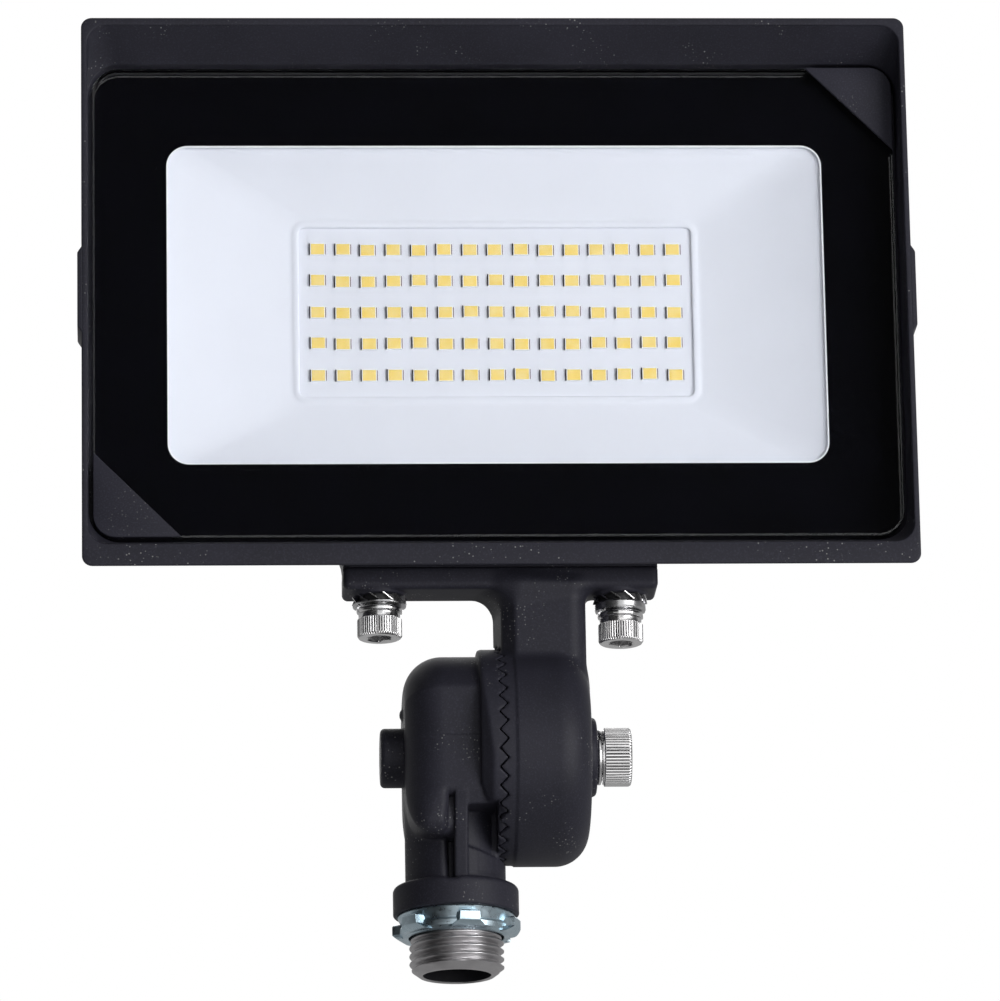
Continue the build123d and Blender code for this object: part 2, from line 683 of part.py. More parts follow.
# Housing: a die-cast tray with a thin rim, a sloped underside and fins down its back.
with BuildPart() as housing:
    with BuildSketch(head_plane(0, z=glass_drop)):
        RectangleRounded(rim_width, rim_height, rim_corner_r)
    with BuildSketch(head_plane(rim_depth, z=glass_drop)):
        RectangleRounded(rim_width - 2 * rim_side_draft, rim_height - 2 * underside_rise, rim_corner_r)
    loft()
    body_w = rim_width - 2 * body_step
    body_h = rim_height - 2 * underside_rise - 2 * body_step
    with BuildSketch(head_plane(rim_depth, z=glass_drop)):
        RectangleRounded(body_w, body_h, body_corner_r)
    with BuildSketch(head_plane(body_depth, z=glass_drop)):
        RectangleRounded(body_w - 2 * body_back_inset, body_h - body_back_inset, fin_corner_r)
    loft()
    fin_w = body_w - 2 * body_back_inset
    fin_h = body_h - body_back_inset
    with BuildSketch(head_plane(body_depth, z=glass_drop)):
        RectangleRounded(fin_w, fin_h, fin_corner_r)
    with BuildSketch(head_plane(body_depth + fin_depth, z=glass_drop)):
        RectangleRounded(fin_w - 2 * fin_inset, fin_h - 4 * fin_inset, fin_corner_r)
    loft()
    with BuildSketch(head_plane(body_depth + fin_depth, z=glass_drop)):
        with GridLocations(fin_pitch, 1, fin_gap_count, 1):
            Rectangle(fin_gap, rim_height)
    extrude(amount=fin_depth, mode=Mode.SUBTRACT)
    with BuildSketch(level_plane(flange_top_z)):
        with Locations((head_x, flange_y)):
            RectangleRounded(mount_pad_width, mount_pad_depth, flange_corner_round)
    extrude(amount=underside_rise + 1.0)
    opening_w = rim_width - 2 * rim_face_side
    opening_h = rim_height - rim_face_top - rim_face_bottom
    opening_z = glass_drop + (rim_face_bottom - rim_face_top) / 2
    with BuildSketch(head_plane(0, z=opening_z)):
        RectangleRounded(opening_w, opening_h, front_opening_r)
    with BuildSketch(head_plane(glass_recess)):
        RectangleRounded(pocket_width, pocket_height, glass_corner_r + glass_groove)
    loft(mode=Mode.SUBTRACT)
    with BuildSketch(head_plane(glass_recess)):
        RectangleRounded(pocket_width, pocket_height, glass_corner_r + glass_groove)
    extrude(amount=-(ledge_depth - glass_recess), mode=Mode.SUBTRACT)
    cavity_leg = leg_to_line(cavity_width, cavity_height, ledge_width - glass_groove)
    with BuildSketch(head_plane(ledge_depth)):
        RectangleRounded(cavity_width, cavity_height, cavity_corner_r)
        for corner in (1, -1):
            with BuildLine():
                Polyline(*corner_triangle(cavity_width, cavity_height, cavity_leg, corner), close=True)
            make_face(mode=Mode.SUBTRACT)
    extrude(amount=-(floor_depth - ledge_depth), mode=Mode.SUBTRACT)
    with BuildSketch(head_plane(pedestal_front)):
        RectangleRounded(pedestal_width, pedestal_height, 2.0)
    extrude(amount=-(floor_depth - pedestal_front + 0.5))
    driver_z = -(pedestal_height / 2 + cavity_height / 2) / 2
    with BuildSketch(head_plane(floor_depth, z=driver_z)):
        with Locations((-driver_screw_x, 0), (driver_screw_x, 0)):
            Circle(driver_standoff_r)
    extrude(amount=driver_standoff)
    for side in (-1, 1):
        wall_x = head_x + side * (rim_width / 2 - 1.0)
        outer_x = head_x + side * (rim_width / 2 + side_pad_height)
        half = side_pad_length / 2
        with BuildSketch(Plane.XZ.offset(head_front)):
            with BuildLine():
                Polyline(
                    (wall_x, head_z - half - side_pad_chamfer),
                    (outer_x, head_z - half),
                    (outer_x, head_z + half),
                    (wall_x, head_z + half + side_pad_chamfer),
                    close=True,
                )
            make_face()
        extrude(amount=-side_pad_depth)
    with BuildSketch(level_plane(flange_top_z)):
        with Locations(*screw_places):
            Circle(m6_tapped_r)
    extrude(amount=m6_bite, mode=Mode.SUBTRACT)
    with BuildSketch(level_plane(flange_top_z)):
        with Locations((wire_x, wire_y)):
            Circle(wire_hole_r)
    extrude(amount=glass_z - cavity_height / 2 - flange_top_z + 1.0, mode=Mode.SUBTRACT)
    with BuildSketch(level_plane(flange_top_z)):
        with Locations((wire_x, wire_y)):
            Circle(bracket_gasket_r)
    extrude(amount=bracket_gasket_thickness, mode=Mode.SUBTRACT)
    with BuildSketch(head_plane(pedestal_front)):
        with Locations(*board_screw_places):
            Circle(m3_tapped_r)
    extrude(amount=-(m3_length - board_thickness), mode=Mode.SUBTRACT)
    with BuildSketch(head_plane(floor_depth - driver_standoff, z=driver_z)):
        with Locations((-driver_screw_x, 0), (driver_screw_x, 0)):
            Circle(m3_tapped_r)
    extrude(amount=-(m3_length - driver_board_thickness), mode=Mode.SUBTRACT)
    peg_inset = glass_corner_r + 1.0
    peg_x = glass_width / 2 - peg_inset
    peg_z = glass_height / 2 - peg_inset
    with BuildSketch(head_plane(ledge_depth)):
        with Locations((peg_x, peg_z), (-peg_x, -peg_z)):
            Circle(corner_peg_r)
    extrude(amount=-corner_peg_length, mode=Mode.SUBTRACT)
finish(housing, "housing")

# Gasket round the wire hole, between the mounting pad and the flange.
with BuildPart() as bracket_gasket:
    with BuildSketch(level_plane(flange_top_z)):
        with Locations((wire_x, wire_y)):
            Circle(bracket_gasket_r)
            Circle(wire_hole_r, mode=Mode.SUBTRACT)
    extrude(amount=bracket_gasket_thickness)
finish(bracket_gasket, "bracket_gasket")


# Lens: toughened glass with two corners cut for the corner plates.
with BuildPart() as glass_lens:
    with BuildSketch(head_plane(glass_recess)):
        RectangleRounded(glass_width, glass_height, glass_corner_r)
        for corner in (1, -1):
            with BuildLine():
                Polyline(*corner_triangle(glass_width, glass_height, cut_leg, corner), close=True)
            make_face(mode=Mode.SUBTRACT)
    extrude(amount=-glass_thickness)
finish(glass_lens, "glass_lens")

# Gasket behind the glass, a flat silicone frame on the ledge.
with BuildPart() as lens_gasket:
    gasket_w = glass_width - 2 * gasket_inset
    gasket_h = glass_height - 2 * gasket_inset
    inner_w = gasket_w - 2 * gasket_width
    inner_h = gasket_h - 2 * gasket_width
    gasket_leg = leg_to_line(gasket_w, gasket_h, gasket_inset)
    inner_leg = leg_to_line(inner_w, inner_h, gasket_inset + gasket_width)
    with BuildSketch(head_plane(glass_back)):
        RectangleRounded(gasket_w, gasket_h, glass_corner_r)
        RectangleRounded(inner_w, inner_h, cavity_corner_r, mode=Mode.SUBTRACT)
        for corner in (1, -1):
            with BuildLine():
                Polyline(*corner_triangle(inner_w, inner_h, inner_leg, corner), close=True)
            make_face()
            with BuildLine():
                Polyline(*corner_triangle(gasket_w, gasket_h, gasket_leg, corner), close=True)
            make_face(mode=Mode.SUBTRACT)
    extrude(amount=-gasket_thickness)
finish(lens_gasket, "lens_gasket")


def corner_plate(corner):
    """Plate that fills one cut corner, clamps the glass with its lip and has a peg behind."""
    with BuildPart() as plate:
        with BuildSketch(head_plane(glass_recess - corner_proud)) as lip_outline:
            with BuildLine():
                Polyline(*corner_triangle(glass_width, glass_height, corner_leg, corner), close=True)
            make_face()
            square_corner = lip_outline.vertices().sort_by(lambda v: corner * (v.X + v.Y))[-1]
            fillet(square_corner, corner_plate_r)
        extrude(amount=-corner_proud)
        with BuildSketch(head_plane(glass_recess)) as block_outline:
            with BuildLine():
                Polyline(*corner_triangle(glass_width, glass_height, cut_leg, corner), close=True)
            make_face()
            square_corner = block_outline.vertices().sort_by(lambda v: corner * (v.X + v.Y))[-1]
            fillet(square_corner, corner_plate_r)
        extrude(amount=-(ledge_depth - glass_recess))
        with BuildSketch(head_plane(ledge_depth)):
            with Locations((corner * peg_x, corner * peg_z)):
                Circle(corner_peg_r)
        extrude(amount=-corner_peg_length + 0.2)
    return plate.part


for corner, node in ((1, "corner_plate_upper"), (-1, "corner_plate_lower")):
    with BuildPart() as corner_piece:
        add(corner_plate(corner))
    finish(corner_piece, node)

# Reflector tray: a white sheet that slopes from the window down to a raised lip round the LEDs.
with BuildPart() as reflector_tray:
    tray_front = glass_back + tray_gap
    foot_w = led_opening_width + 2 * tray_foot
    foot_h = led_opening_height + 2 * tray_foot
    outer_w = window_width + 2 * tray_margin
    outer_h = window_height + 2 * tray_margin
    with BuildSketch(head_plane(tray_front)):
        RectangleRounded(outer_w, outer_h, tray_corner_r)
    with BuildSketch(head_plane(board_front)):
        RectangleRounded(foot_w, foot_h, led_opening_r + tray_foot)
    loft()
    with BuildSketch(head_plane(tray_front)):
        RectangleRounded(outer_w - 2 * tray_margin / 2, outer_h - 2 * tray_margin / 2, tray_corner_r)
    with BuildSketch(head_plane(board_front - tray_sheet)):
        RectangleRounded(foot_w, foot_h, led_opening_r + tray_foot)
    loft(mode=Mode.SUBTRACT)
    with BuildSketch(head_plane(board_front - tray_sheet - 0.8)):
        RectangleRounded(foot_w, foot_h, led_opening_r + tray_foot)
    extrude(amount=-(tray_sheet + 0.8))
    with BuildSketch(head_plane(tray_front)):
        RectangleRounded(led_opening_width, led_opening_height, led_opening_r)
    extrude(amount=-(board_front - tray_front), mode=Mode.SUBTRACT)
finish(reflector_tray, "reflector_tray")

# LED board, its chips, its screws and the pad behind it.
with BuildPart() as led_board:
    with BuildSketch(head_plane(board_front)):
        RectangleRounded(board_width, board_height, 1.5)
        with Locations(*board_screw_places):
            Circle(m3_clearance_r, mode=Mode.SUBTRACT)
    extrude(amount=-board_thickness)
finish(led_board, "led_board")

with BuildPart() as led_chips:
    with BuildSketch(head_plane(led_face_depth)):
        with GridLocations(led_pitch_x, led_pitch_z, led_columns, led_rows):
            Rectangle(led_width, led_height)
    extrude(amount=-led_thickness)
finish(led_chips, "led_chips")

with BuildPart() as thermal_pad:
    with BuildSketch(head_plane(board_back)):
        Rectangle(board_width - 2 * thermal_pad_inset, board_height - 2 * thermal_pad_inset)
        with Locations(*board_screw_places):
            Circle(m3_clearance_r, mode=Mode.SUBTRACT)
    extrude(amount=-thermal_pad_thickness)
finish(thermal_pad, "thermal_pad")


def pan_screws(depth, places, length, z=0.0):
    """Pan-head screws that point away from the viewer, their heads seated at one depth."""
    with BuildPart() as screws:
        with BuildSketch(head_plane(depth, z=z)):
            with Locations(*places):
                Circle(m3_head_r)
        extrude(amount=m3_head_height)
        with BuildSketch(head_plane(depth, z=z)):
            with Locations(*places):
                Circle(m3_shank_r)
        extrude(amount=-length)
        with BuildSketch(head_plane(depth - m3_head_height, z=z)):
            with Locations(*places):
                RegularPolygon(m3_recess_r, 6)
        extrude(amount=-m3_recess_depth, mode=Mode.SUBTRACT)
    return screws.part


with BuildPart() as board_screws:
    add(pan_screws(board_front, board_screw_places, m3_length - 0.3))
finish(board_screws, "board_screws")

# Driver: a narrow board under the light engine with its parts on the front side.
driver_back = floor_depth - driver_standoff
driver_front = driver_back - driver_board_thickness
driver_screw_places = [(-driver_screw_x, 0), (driver_screw_x, 0)]
with BuildPart() as driver_board:
    with BuildSketch(head_plane(driver_front, z=driver_z)):
        Rectangle(driver_width, driver_height)
        with Locations(*driver_screw_places):
            Circle(m3_clearance_r, mode=Mode.SUBTRACT)
    extrude(amount=-driver_board_thickness)
finish(driver_board, "driver_board")

tallest_part = driver_front - board_front - driver_clear
with BuildPart() as driver_parts:
    for x, width, margin, share in ((-48, 16, 6.0, 0.9), (-24, 13, 5.0, 1.0), (2, 18, 4.0, 1.0), (44, 14, 6.4, 0.8)):
        with BuildSketch(head_plane(driver_front, x, driver_z)):
            Rectangle(width, driver_height - margin)
        extrude(amount=tallest_part * share)
    for x in (20, 29):
        with BuildSketch(head_plane(driver_front, x, driver_z)):
            Circle(driver_height / 5)
        extrude(amount=tallest_part)
finish(driver_parts, "driver_parts")

with BuildPart() as driver_screws:
    add(pan_screws(driver_front, driver_screw_places, m3_length - 0.3, driver_z))
finish(driver_screws, "driver_screws")
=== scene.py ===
"""LED flood light: a rectangular lamp head on a toothed tilt knuckle with a threaded nipple.

Sizes are in millimetres in the part's own frame, where +Z is up, the glass faces -Y and +X is to
the right seen from the front. The origin is on the nipple's axis, midway along its free thread.
Points become metres only when a mesh is made of them. A depth is a distance behind the rim's
front edge.
"""

import logging
from collections.abc import Callable, Sequence
from dataclasses import dataclass
from enum import Enum
from math import acos, cos, pi, radians, sin, sqrt, tan, tau

import bmesh
import bpy
import numpy as np
from mathutils import Matrix, Vector


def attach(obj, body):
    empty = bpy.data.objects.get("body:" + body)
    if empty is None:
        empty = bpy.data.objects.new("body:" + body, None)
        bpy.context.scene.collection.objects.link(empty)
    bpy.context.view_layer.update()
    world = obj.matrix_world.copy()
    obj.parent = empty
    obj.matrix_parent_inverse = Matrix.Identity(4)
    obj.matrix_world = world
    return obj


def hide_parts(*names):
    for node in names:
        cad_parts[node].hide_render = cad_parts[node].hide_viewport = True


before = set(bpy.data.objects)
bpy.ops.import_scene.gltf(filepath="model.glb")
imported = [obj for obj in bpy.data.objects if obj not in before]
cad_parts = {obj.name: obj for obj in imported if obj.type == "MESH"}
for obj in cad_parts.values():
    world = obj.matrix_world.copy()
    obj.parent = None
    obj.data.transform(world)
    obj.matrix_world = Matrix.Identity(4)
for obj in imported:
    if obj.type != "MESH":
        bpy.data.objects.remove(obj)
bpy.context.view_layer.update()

LOG = logging.getLogger("flood_light")
MM = 0.001
PIVOT_Z = 45.35
HEAD_X = 10.45
HEAD_Z = 147.0
GLASS_Z = 146.6
RIM_Y = -24.0
FLANGE_Y = -7.7

Array = np.ndarray
Outline = list[tuple[float, float]]
Link = bpy.types.NodeSocket


class Body(Enum):
    """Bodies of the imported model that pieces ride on."""

    ARM = "arm"
    HEAD = "head"
    PIVOT_BOLT = "pivot_bolt"
    LOCKNUT = "locknut"


class Turned(Enum):
    """Axis that a turned shape stands on."""

    UP = "up"
    RIGHT = "right"


# Node trees


class NodeSheet:
    """Adds the nodes of one tree and joins them."""

    def __init__(self, tree: bpy.types.NodeTree) -> None:
        """Start on a tree.

        Args:
            tree: The node tree that the nodes go into.
        """
        self.tree = tree

    def add(self, kind: str, inputs: dict | None = None, **settings: object) -> bpy.types.Node:
        """Add one node.

        Args:
            kind: The node's type name.
            inputs: Values or output sockets by input name or number.
            **settings: The node's own properties.

        Returns:
            The new node.
        """
        node = self.tree.nodes.new(kind)
        for name, value in settings.items():
            setattr(node, name, value)
        for key, value in (inputs or {}).items():
            socket = node.inputs[key]
            if isinstance(value, bpy.types.NodeSocket):
                self.tree.links.new(value, socket)
            else:
                socket.default_value = value
        return node

    def math(self, operation: str, a: Link | float, b: Link | float = 0.0) -> Link:
        """Result of one sum on two numbers."""
        return self.add("ShaderNodeMath", {0: a, 1: b}, operation=operation).outputs[0]


class SurfaceSheet(NodeSheet):
    """Adds the nodes of a surface material."""

    def __init__(self, material: bpy.types.Material) -> None:
        """Empty the material's tree and give it an output and coordinates.

        Args:
            material: The material to fill.
        """
        super().__init__(material.node_tree)
        material.node_tree.nodes.clear()
        self.output = self.add("ShaderNodeOutputMaterial")
        self.place = self.add("ShaderNodeTexCoord").outputs["Object"]

    def stretched(self, scale: tuple[float, float, float]) -> Link:
        """Object coordinates, drawn out by a scale along each axis."""
        return self.add("ShaderNodeMapping", {"Vector": self.place, "Scale": scale}).outputs[0]

    def noise(self, scale: float, detail: float = 2.0, place: Link | None = None) -> Link:
        """Cloudy noise from 0 to 1, its scale in cells per metre."""
        inputs = {"Vector": place or self.place, "Scale": scale, "Detail": detail}
        return self.add("ShaderNodeTexNoise", inputs).outputs["Fac"]

    def spread(self, value: Link, low: float, high: float, start: float = 0.3, end: float = 0.7) -> Link:
        """Map a value's range from start to end onto low to high, and hold it there outside."""
        inputs = {0: value, 1: start, 2: end, 3: low, 4: high}
        return self.add("ShaderNodeMapRange", inputs).outputs[0]

    def tint(self, share: Link, first: Sequence[float], second: Sequence[float]) -> Link:
        """Mix two colours by a share from 0 to 1."""
        node = self.add("ShaderNodeMix", {"Factor": share}, data_type="RGBA")
        node.inputs["A"].default_value = (0, 0, 0, 1)
        for socket, value in ((node.inputs[6], first), (node.inputs[7], second)):
            if isinstance(value, bpy.types.NodeSocket):
                self.tree.links.new(value, socket)
            else:
                socket.default_value = (*value, 1.0)
        return node.outputs[2]

    def bump(self, height: Link, depth_mm: float, strength: float = 1.0, under: Link | None = None) -> Link:
        """Normal of a surface raised by a height from 0 to 1."""
        inputs = {"Height": height, "Distance": depth_mm * MM, "Strength": strength}
        if under is not None:
            inputs["Normal"] = under
        return self.add("ShaderNodeBump", inputs).outputs["Normal"]

    def shade(self, **inputs: object) -> bpy.types.Node:
        """Add the surface shader, its inputs named with _ for spaces, and join it to the output."""
        named = {key.replace("_", " "): value for key, value in inputs.items()}
        node = self.add("ShaderNodeBsdfPrincipled", named)
        self.tree.links.new(node.outputs["BSDF"], self.output.inputs["Surface"])
        return node


# Finishes


@dataclass(frozen=True)
class Finish:
    """A finish that makes its material once and then hands out the same one."""

    name: str

    def material(self) -> bpy.types.Material:
        """The finish's material."""
        known = bpy.data.materials.get(self.name)
        if known is not None:
            return known
        material = bpy.data.materials.new(self.name)
        material.use_nodes = True
        self.wire(SurfaceSheet(material))
        return material

    def wire(self, sheet: SurfaceSheet) -> None:
        """Add the finish's nodes to an empty sheet."""
        raise NotImplementedError


@dataclass(frozen=True)
class PowderCoat(Finish):
    """Black powder coat with a fine grain and a few clusters of pale specks."""

    base: float = 0.0235
    fleck: float = 0.30
    specular: float = 0.22
    roughness: float = 0.52

    def wire(self, sheet: SurfaceSheet) -> None:
        """Grain bump, cloudy darkness and specks that come in loose clusters."""
        cloud = sheet.noise(55, 3)
        grain = sheet.noise(2600, 2)
        dark = tuple(self.base * k for k in (0.86, 0.85, 1.22))
        light = tuple(self.base * k for k in (1.14, 1.12, 1.62))
        coat = sheet.tint(sheet.spread(cloud, 0, 1), dark, light)
        coat = sheet.tint(sheet.spread(grain, 0, 0.55, 0.5, 0.8), coat, tuple(1.9 * k for k in light))
        cells = sheet.add("ShaderNodeTexVoronoi", {"Vector": sheet.place, "Scale": 1250, "Randomness": 1.0})
        dot = sheet.spread(cells.outputs["Distance"], 1, 0, 0.14, 0.26)
        channels = sheet.add("ShaderNodeSeparateColor", {0: cells.outputs["Color"]})
        chosen = sheet.math("GREATER_THAN", channels.outputs[0], 0.30)
        cluster = sheet.spread(sheet.noise(75, 1.5), 0, 1, 0.54, 0.60)
        bright = sheet.math("MULTIPLY", channels.outputs[1], 0.9)
        mask = sheet.math("MULTIPLY", sheet.math("MULTIPLY", dot, chosen), sheet.math("MULTIPLY", cluster, bright))
        colour = sheet.tint(mask, coat, (self.fleck,) * 3)
        normal = sheet.bump(grain, 0.035, 0.45)
        sheet.shade(
            Base_Color=colour,
            Roughness=sheet.spread(cloud, self.roughness - 0.04, self.roughness + 0.06),
            Specular_IOR_Level=self.specular,
            Normal=normal,
        )


@dataclass(frozen=True)
class Moulded(Finish):
    """Moulded plastic, rubber or board mask: a colour with clouds and a fine grain."""

    colour: tuple[float, float, float] = (0.5, 0.5, 0.5)
    roughness: float = 0.5
    specular: float = 0.5
    grain_scale: float = 2200
    grain_depth: float = 0.02
    variation: float = 0.06
    coat: float = 0.0

    def wire(self, sheet: SurfaceSheet) -> None:
        """Clouds in the colour and the gloss, and a grain in the surface."""
        cloud = sheet.noise(70, 3)
        grain = sheet.noise(self.grain_scale, 2)
        low = tuple(c * (1 - self.variation) for c in self.colour)
        high = tuple(min(1.0, c * (1 + self.variation)) for c in self.colour)
        sheet.shade(
            Base_Color=sheet.tint(sheet.spread(cloud, 0, 1), low, high),
            Roughness=sheet.spread(grain, self.roughness - 0.05, self.roughness + 0.05),
            Specular_IOR_Level=self.specular,
            Coat_Weight=self.coat,
            Normal=sheet.bump(grain, self.grain_depth, 0.4),
        )


@dataclass(frozen=True)
class Metal(Finish):
    """Bare or plated metal with fine tool marks drawn out along one direction."""

    colour: tuple[float, float, float] = (0.7, 0.7, 0.7)
    second: tuple[float, float, float] = (0.6, 0.6, 0.6)
    roughness: float = 0.3
    marks: tuple[float, float, float] = (1.0, 1.0, 1.0)
    mark_scale: float = 900
    mark_depth: float = 0.02
    cloud_scale: float = 180

    def wire(self, sheet: SurfaceSheet) -> None:
        """Cloudy plating over drawn-out marks."""
        cloud = sheet.noise(self.cloud_scale, 4)
        lines = sheet.noise(self.mark_scale, 3, sheet.stretched(self.marks))
        sheet.shade(
            Base_Color=sheet.tint(sheet.spread(cloud, 0, 1), self.colour, self.second),
            Metallic=1.0,
            Roughness=sheet.spread(lines, self.roughness - 0.07, self.roughness + 0.10),
            Normal=sheet.bump(lines, self.mark_depth, 0.5),
        )


@dataclass(frozen=True)
class Phosphor(Finish):
    """Yellow gel of an LED, a little deeper in its middle."""

    middle: tuple[float, float, float] = (1.0, 0.72, 0.17)
    edge: tuple[float, float, float] = (1.0, 0.78, 0.30)

    def wire(self, sheet: SurfaceSheet) -> None:
        """Soft clouds between the two yellows under a wet surface."""
        cloud = sheet.noise(420, 2)
        sheet.shade(
            Base_Color=sheet.tint(sheet.spread(cloud, 0, 1), self.middle, self.edge),
            Roughness=0.35,
            Specular_IOR_Level=0.3,
            Normal=sheet.bump(cloud, 0.03, 0.3),
        )


@dataclass(frozen=True)
class ClearGlass(Finish):
    """Toughened glass that lets lamp light straight through."""

    ior: float = 1.5

    def wire(self, sheet: SurfaceSheet) -> None:
        """Clear refraction with a faint ripple, and plain passage for shadow rays."""
        ripple = sheet.noise(9, 1)
        glass = sheet.shade(
            Base_Color=(0.975, 0.99, 1.0, 1.0),
            Roughness=sheet.spread(ripple, 0.0, 0.012),
            IOR=self.ior,
            Transmission_Weight=1.0,
            Normal=sheet.bump(ripple, 0.02, 0.1),
        )
        ray = sheet.add("ShaderNodeLightPath")
        clear = sheet.add("ShaderNodeBsdfTransparent", {"Color": (0.94, 0.95, 0.96, 1.0)})
        mix = sheet.add("ShaderNodeMixShader", {0: ray.outputs["Is Shadow Ray"], 1: glass.outputs[0], 2: clear.outputs[0]})
        sheet.tree.links.new(mix.outputs[0], sheet.output.inputs["Surface"])


POWDER = PowderCoat("black_powder_coat_finish")
PLATE = PowderCoat("grained_corner_plate_finish", base=0.0310, roughness=0.6)
FRIT = Moulded("printed_black_border_finish", (0.0012, 0.0012, 0.0026), 0.6, 0.02, variation=0.2)
GLASS = ClearGlass("clear_glass_finish")
TRAY = Moulded("matte_white_tray_finish", (0.835, 0.845, 0.915), 0.55, 0.20, 1500, 0.01, 0.012)
BOARD = Moulded("white_board_finish", (0.83, 0.84, 0.91), 0.45, 0.25, 1800, 0.008, 0.015)
PACKAGE = Moulded("white_led_package_finish", (0.92, 0.93, 0.95), 0.4, 0.4, 3000, 0.005, 0.02)
GEL = Phosphor("led_gel_finish")
# Dark strip at each LED's left edge: part lead, part painted shadow of the gap beside the package.
LED_LEAD_AND_GAP_SHADE = Moulded("led_lead_and_gap_shade_finish", (0.010, 0.005, 0.006), 0.5, 0.1, 3000, 0.005, 0.2)
ANODE = Moulded("led_leg_finish", (0.13, 0.05, 0.05), 0.5, 0.1, 3000, 0.005, 0.3)
RUBBER = Moulded("seal_rubber_finish", (0.012, 0.012, 0.013), 0.75, 0.3, 900, 0.03, 0.15)
PAD = Moulded("thermal_pad_finish", (0.22, 0.23, 0.26), 0.8, 0.2, 1200, 0.03, 0.1)
MASK = Moulded("green_driver_board_finish", (0.012, 0.12, 0.055), 0.35, 0.5, 1500, 0.01, 0.2)
# Dark colour of the driver's parts, also used as painted shade in the gaps between the washer teeth.
DRIVER_PART_AND_GAP_SHADE = Moulded("driver_part_and_gap_shade_finish", (0.02, 0.02, 0.022), 0.4, 0.5, 1500, 0.01, 0.2)
STEEL = Metal("bright_steel_finish", (0.84, 0.83, 0.83), (0.74, 0.74, 0.75), 0.20, mark_scale=300, mark_depth=0.004)
DARK_STEEL = Metal("washer_steel_finish", (0.66, 0.66, 0.66), (0.50, 0.50, 0.52), 0.26, mark_scale=400, mark_depth=0.006)
ZINC = Metal("blue_zinc_finish", (0.60, 0.72, 0.79), (0.46, 0.58, 0.65), 0.30, mark_scale=700, mark_depth=0.018)
BARE = Metal("bare_nipple_finish", (0.56, 0.55, 0.56), (0.42, 0.41, 0.42), 0.36, (1, 1, 9), 500, 0.02)
# Dark fill: painted shade between the knurls of the screw heads, and the dark lining of the nipple's bore.
GROOVE_SHADE_AND_BORE_DARK = Moulded("groove_shade_and_dark_bore_finish", (0.011, 0.011, 0.014), 0.7, 0.2, 700, 0.03, 0.3)
# Near-white finish of the thin ring along the window: a painted highlight.
PAINTED_EDGE_HIGHLIGHT = Moulded("painted_window_edge_highlight_finish", (0.94, 0.95, 0.97), 0.5, 0.2, 1500, 0.005, 0.01)


# Meshes


class Shape:
    """Points in millimetres and faces of one piece while it is built."""

    def __init__(self) -> None:
        """Start empty."""
        self.points: list[Array] = []
        self.faces: list[tuple[int, ...]] = []
        self.count = 0

    def add(self, points: Array, faces: Sequence[Sequence[int]]) -> None:
        """Add points and the faces between them.

        Args:
            points: An array of n by 3.
            faces: Corner numbers that count from this call's first point.
        """
        first = self.count
        self.points.append(np.asarray(points, dtype=float))
        self.faces.extend(tuple(first + i for i in face) for face in faces)
        self.count += len(points)

    def loft(self, rings: Sequence[Array], looped: bool = False, capped: bool = True) -> None:
        """Skin closed rings of equal length.

        Args:
            rings: Arrays of n by 3, in order.
            looped: Whether the last ring joins the first, as round a frame.
            capped: Whether the first and the last ring are closed by a face.
        """
        size = len(rings[0])
        faces = []
        spans = len(rings) if looped else len(rings) - 1
        for i in range(spans):
            a = i * size
            b = ((i + 1) % len(rings)) * size
            for k in range(size):
                n = (k + 1) % size
                faces.append((a + k, a + n, b + n, b + k))
        if capped and not looped:
            last = (len(rings) - 1) * size
            faces.append(tuple(range(size)))
            faces.append(tuple(last + k for k in range(size)))
        self.add(np.concatenate(rings), faces)

    def piece(self, name: str, finish: Finish, sharp: float = 14.0) -> bpy.types.Object:
        """Make the Blender object.

        Args:
            name: The piece's name.
            finish: The finish of all its faces.
            sharp: The angle in degrees above which an edge stays crisp.

        Returns:
            The object, at the origin, with its faces outward.
        """
        return mesh_piece(name, np.concatenate(self.points), self.faces, finish, sharp)


def mesh_piece(
    name: str, points: Array, faces: Sequence[Sequence[int]], finish: Finish, sharp: float
) -> bpy.types.Object:
    """Make an object of points in millimetres.

    Args:
        name: The piece's name.
        points: An array of n by 3.
        faces: Corner numbers of each face.
        finish: The finish of all its faces.
        sharp: The angle in degrees above which an edge stays crisp.

    Returns:
        The object, linked to the scene.
    """
    mesh = bpy.data.meshes.new(name)
    mesh.from_pydata((points * MM).tolist(), [], [tuple(map(int, f)) for f in faces])
    work = bmesh.new()
    work.from_mesh(mesh)
    bmesh.ops.recalc_face_normals(work, faces=work.faces[:])
    work.to_mesh(mesh)
    work.free()
    mesh.polygons.foreach_set("use_smooth", [True] * len(mesh.polygons))
    mesh.set_sharp_from_angle(angle=radians(sharp))
    mesh.materials.append(finish.material())
    made = bpy.data.objects.new(name, mesh)
    bpy.context.scene.collection.objects.link(made)
    return made


def rounded_outline(
    half_x: float, low: float, high: float, radius: float, cut: float = 0.0, steps: int = 8
) -> Outline:
    """Outline of a rounded rectangle, counterclockwise from its right side.

    Args:
        half_x: Half its width.
        low: Its lower edge.
        high: Its upper edge.
        radius: The corners' radius.
        cut: Leg of a straight cut across the upper right and the lower left corner, or 0 for none.
        steps: Spans in each corner.

    Returns:
        The outline's points as pairs.
    """
    ring = []
    for i, (sx, sz) in enumerate(((1, 1), (-1, 1), (-1, -1), (1, -1))):
        edge_z = high if sz > 0 else low
        for k in range(steps + 1):
            share = k / steps
            if cut and sx == sz:
                ring.append((sx * (half_x - cut * share), edge_z - sz * cut * (1 - share)))
            else:
                turn = (i + share) * pi / 2
                ring.append((sx * (half_x - radius) + radius * cos(turn), edge_z - sz * radius + radius * sin(turn)))
    return ring


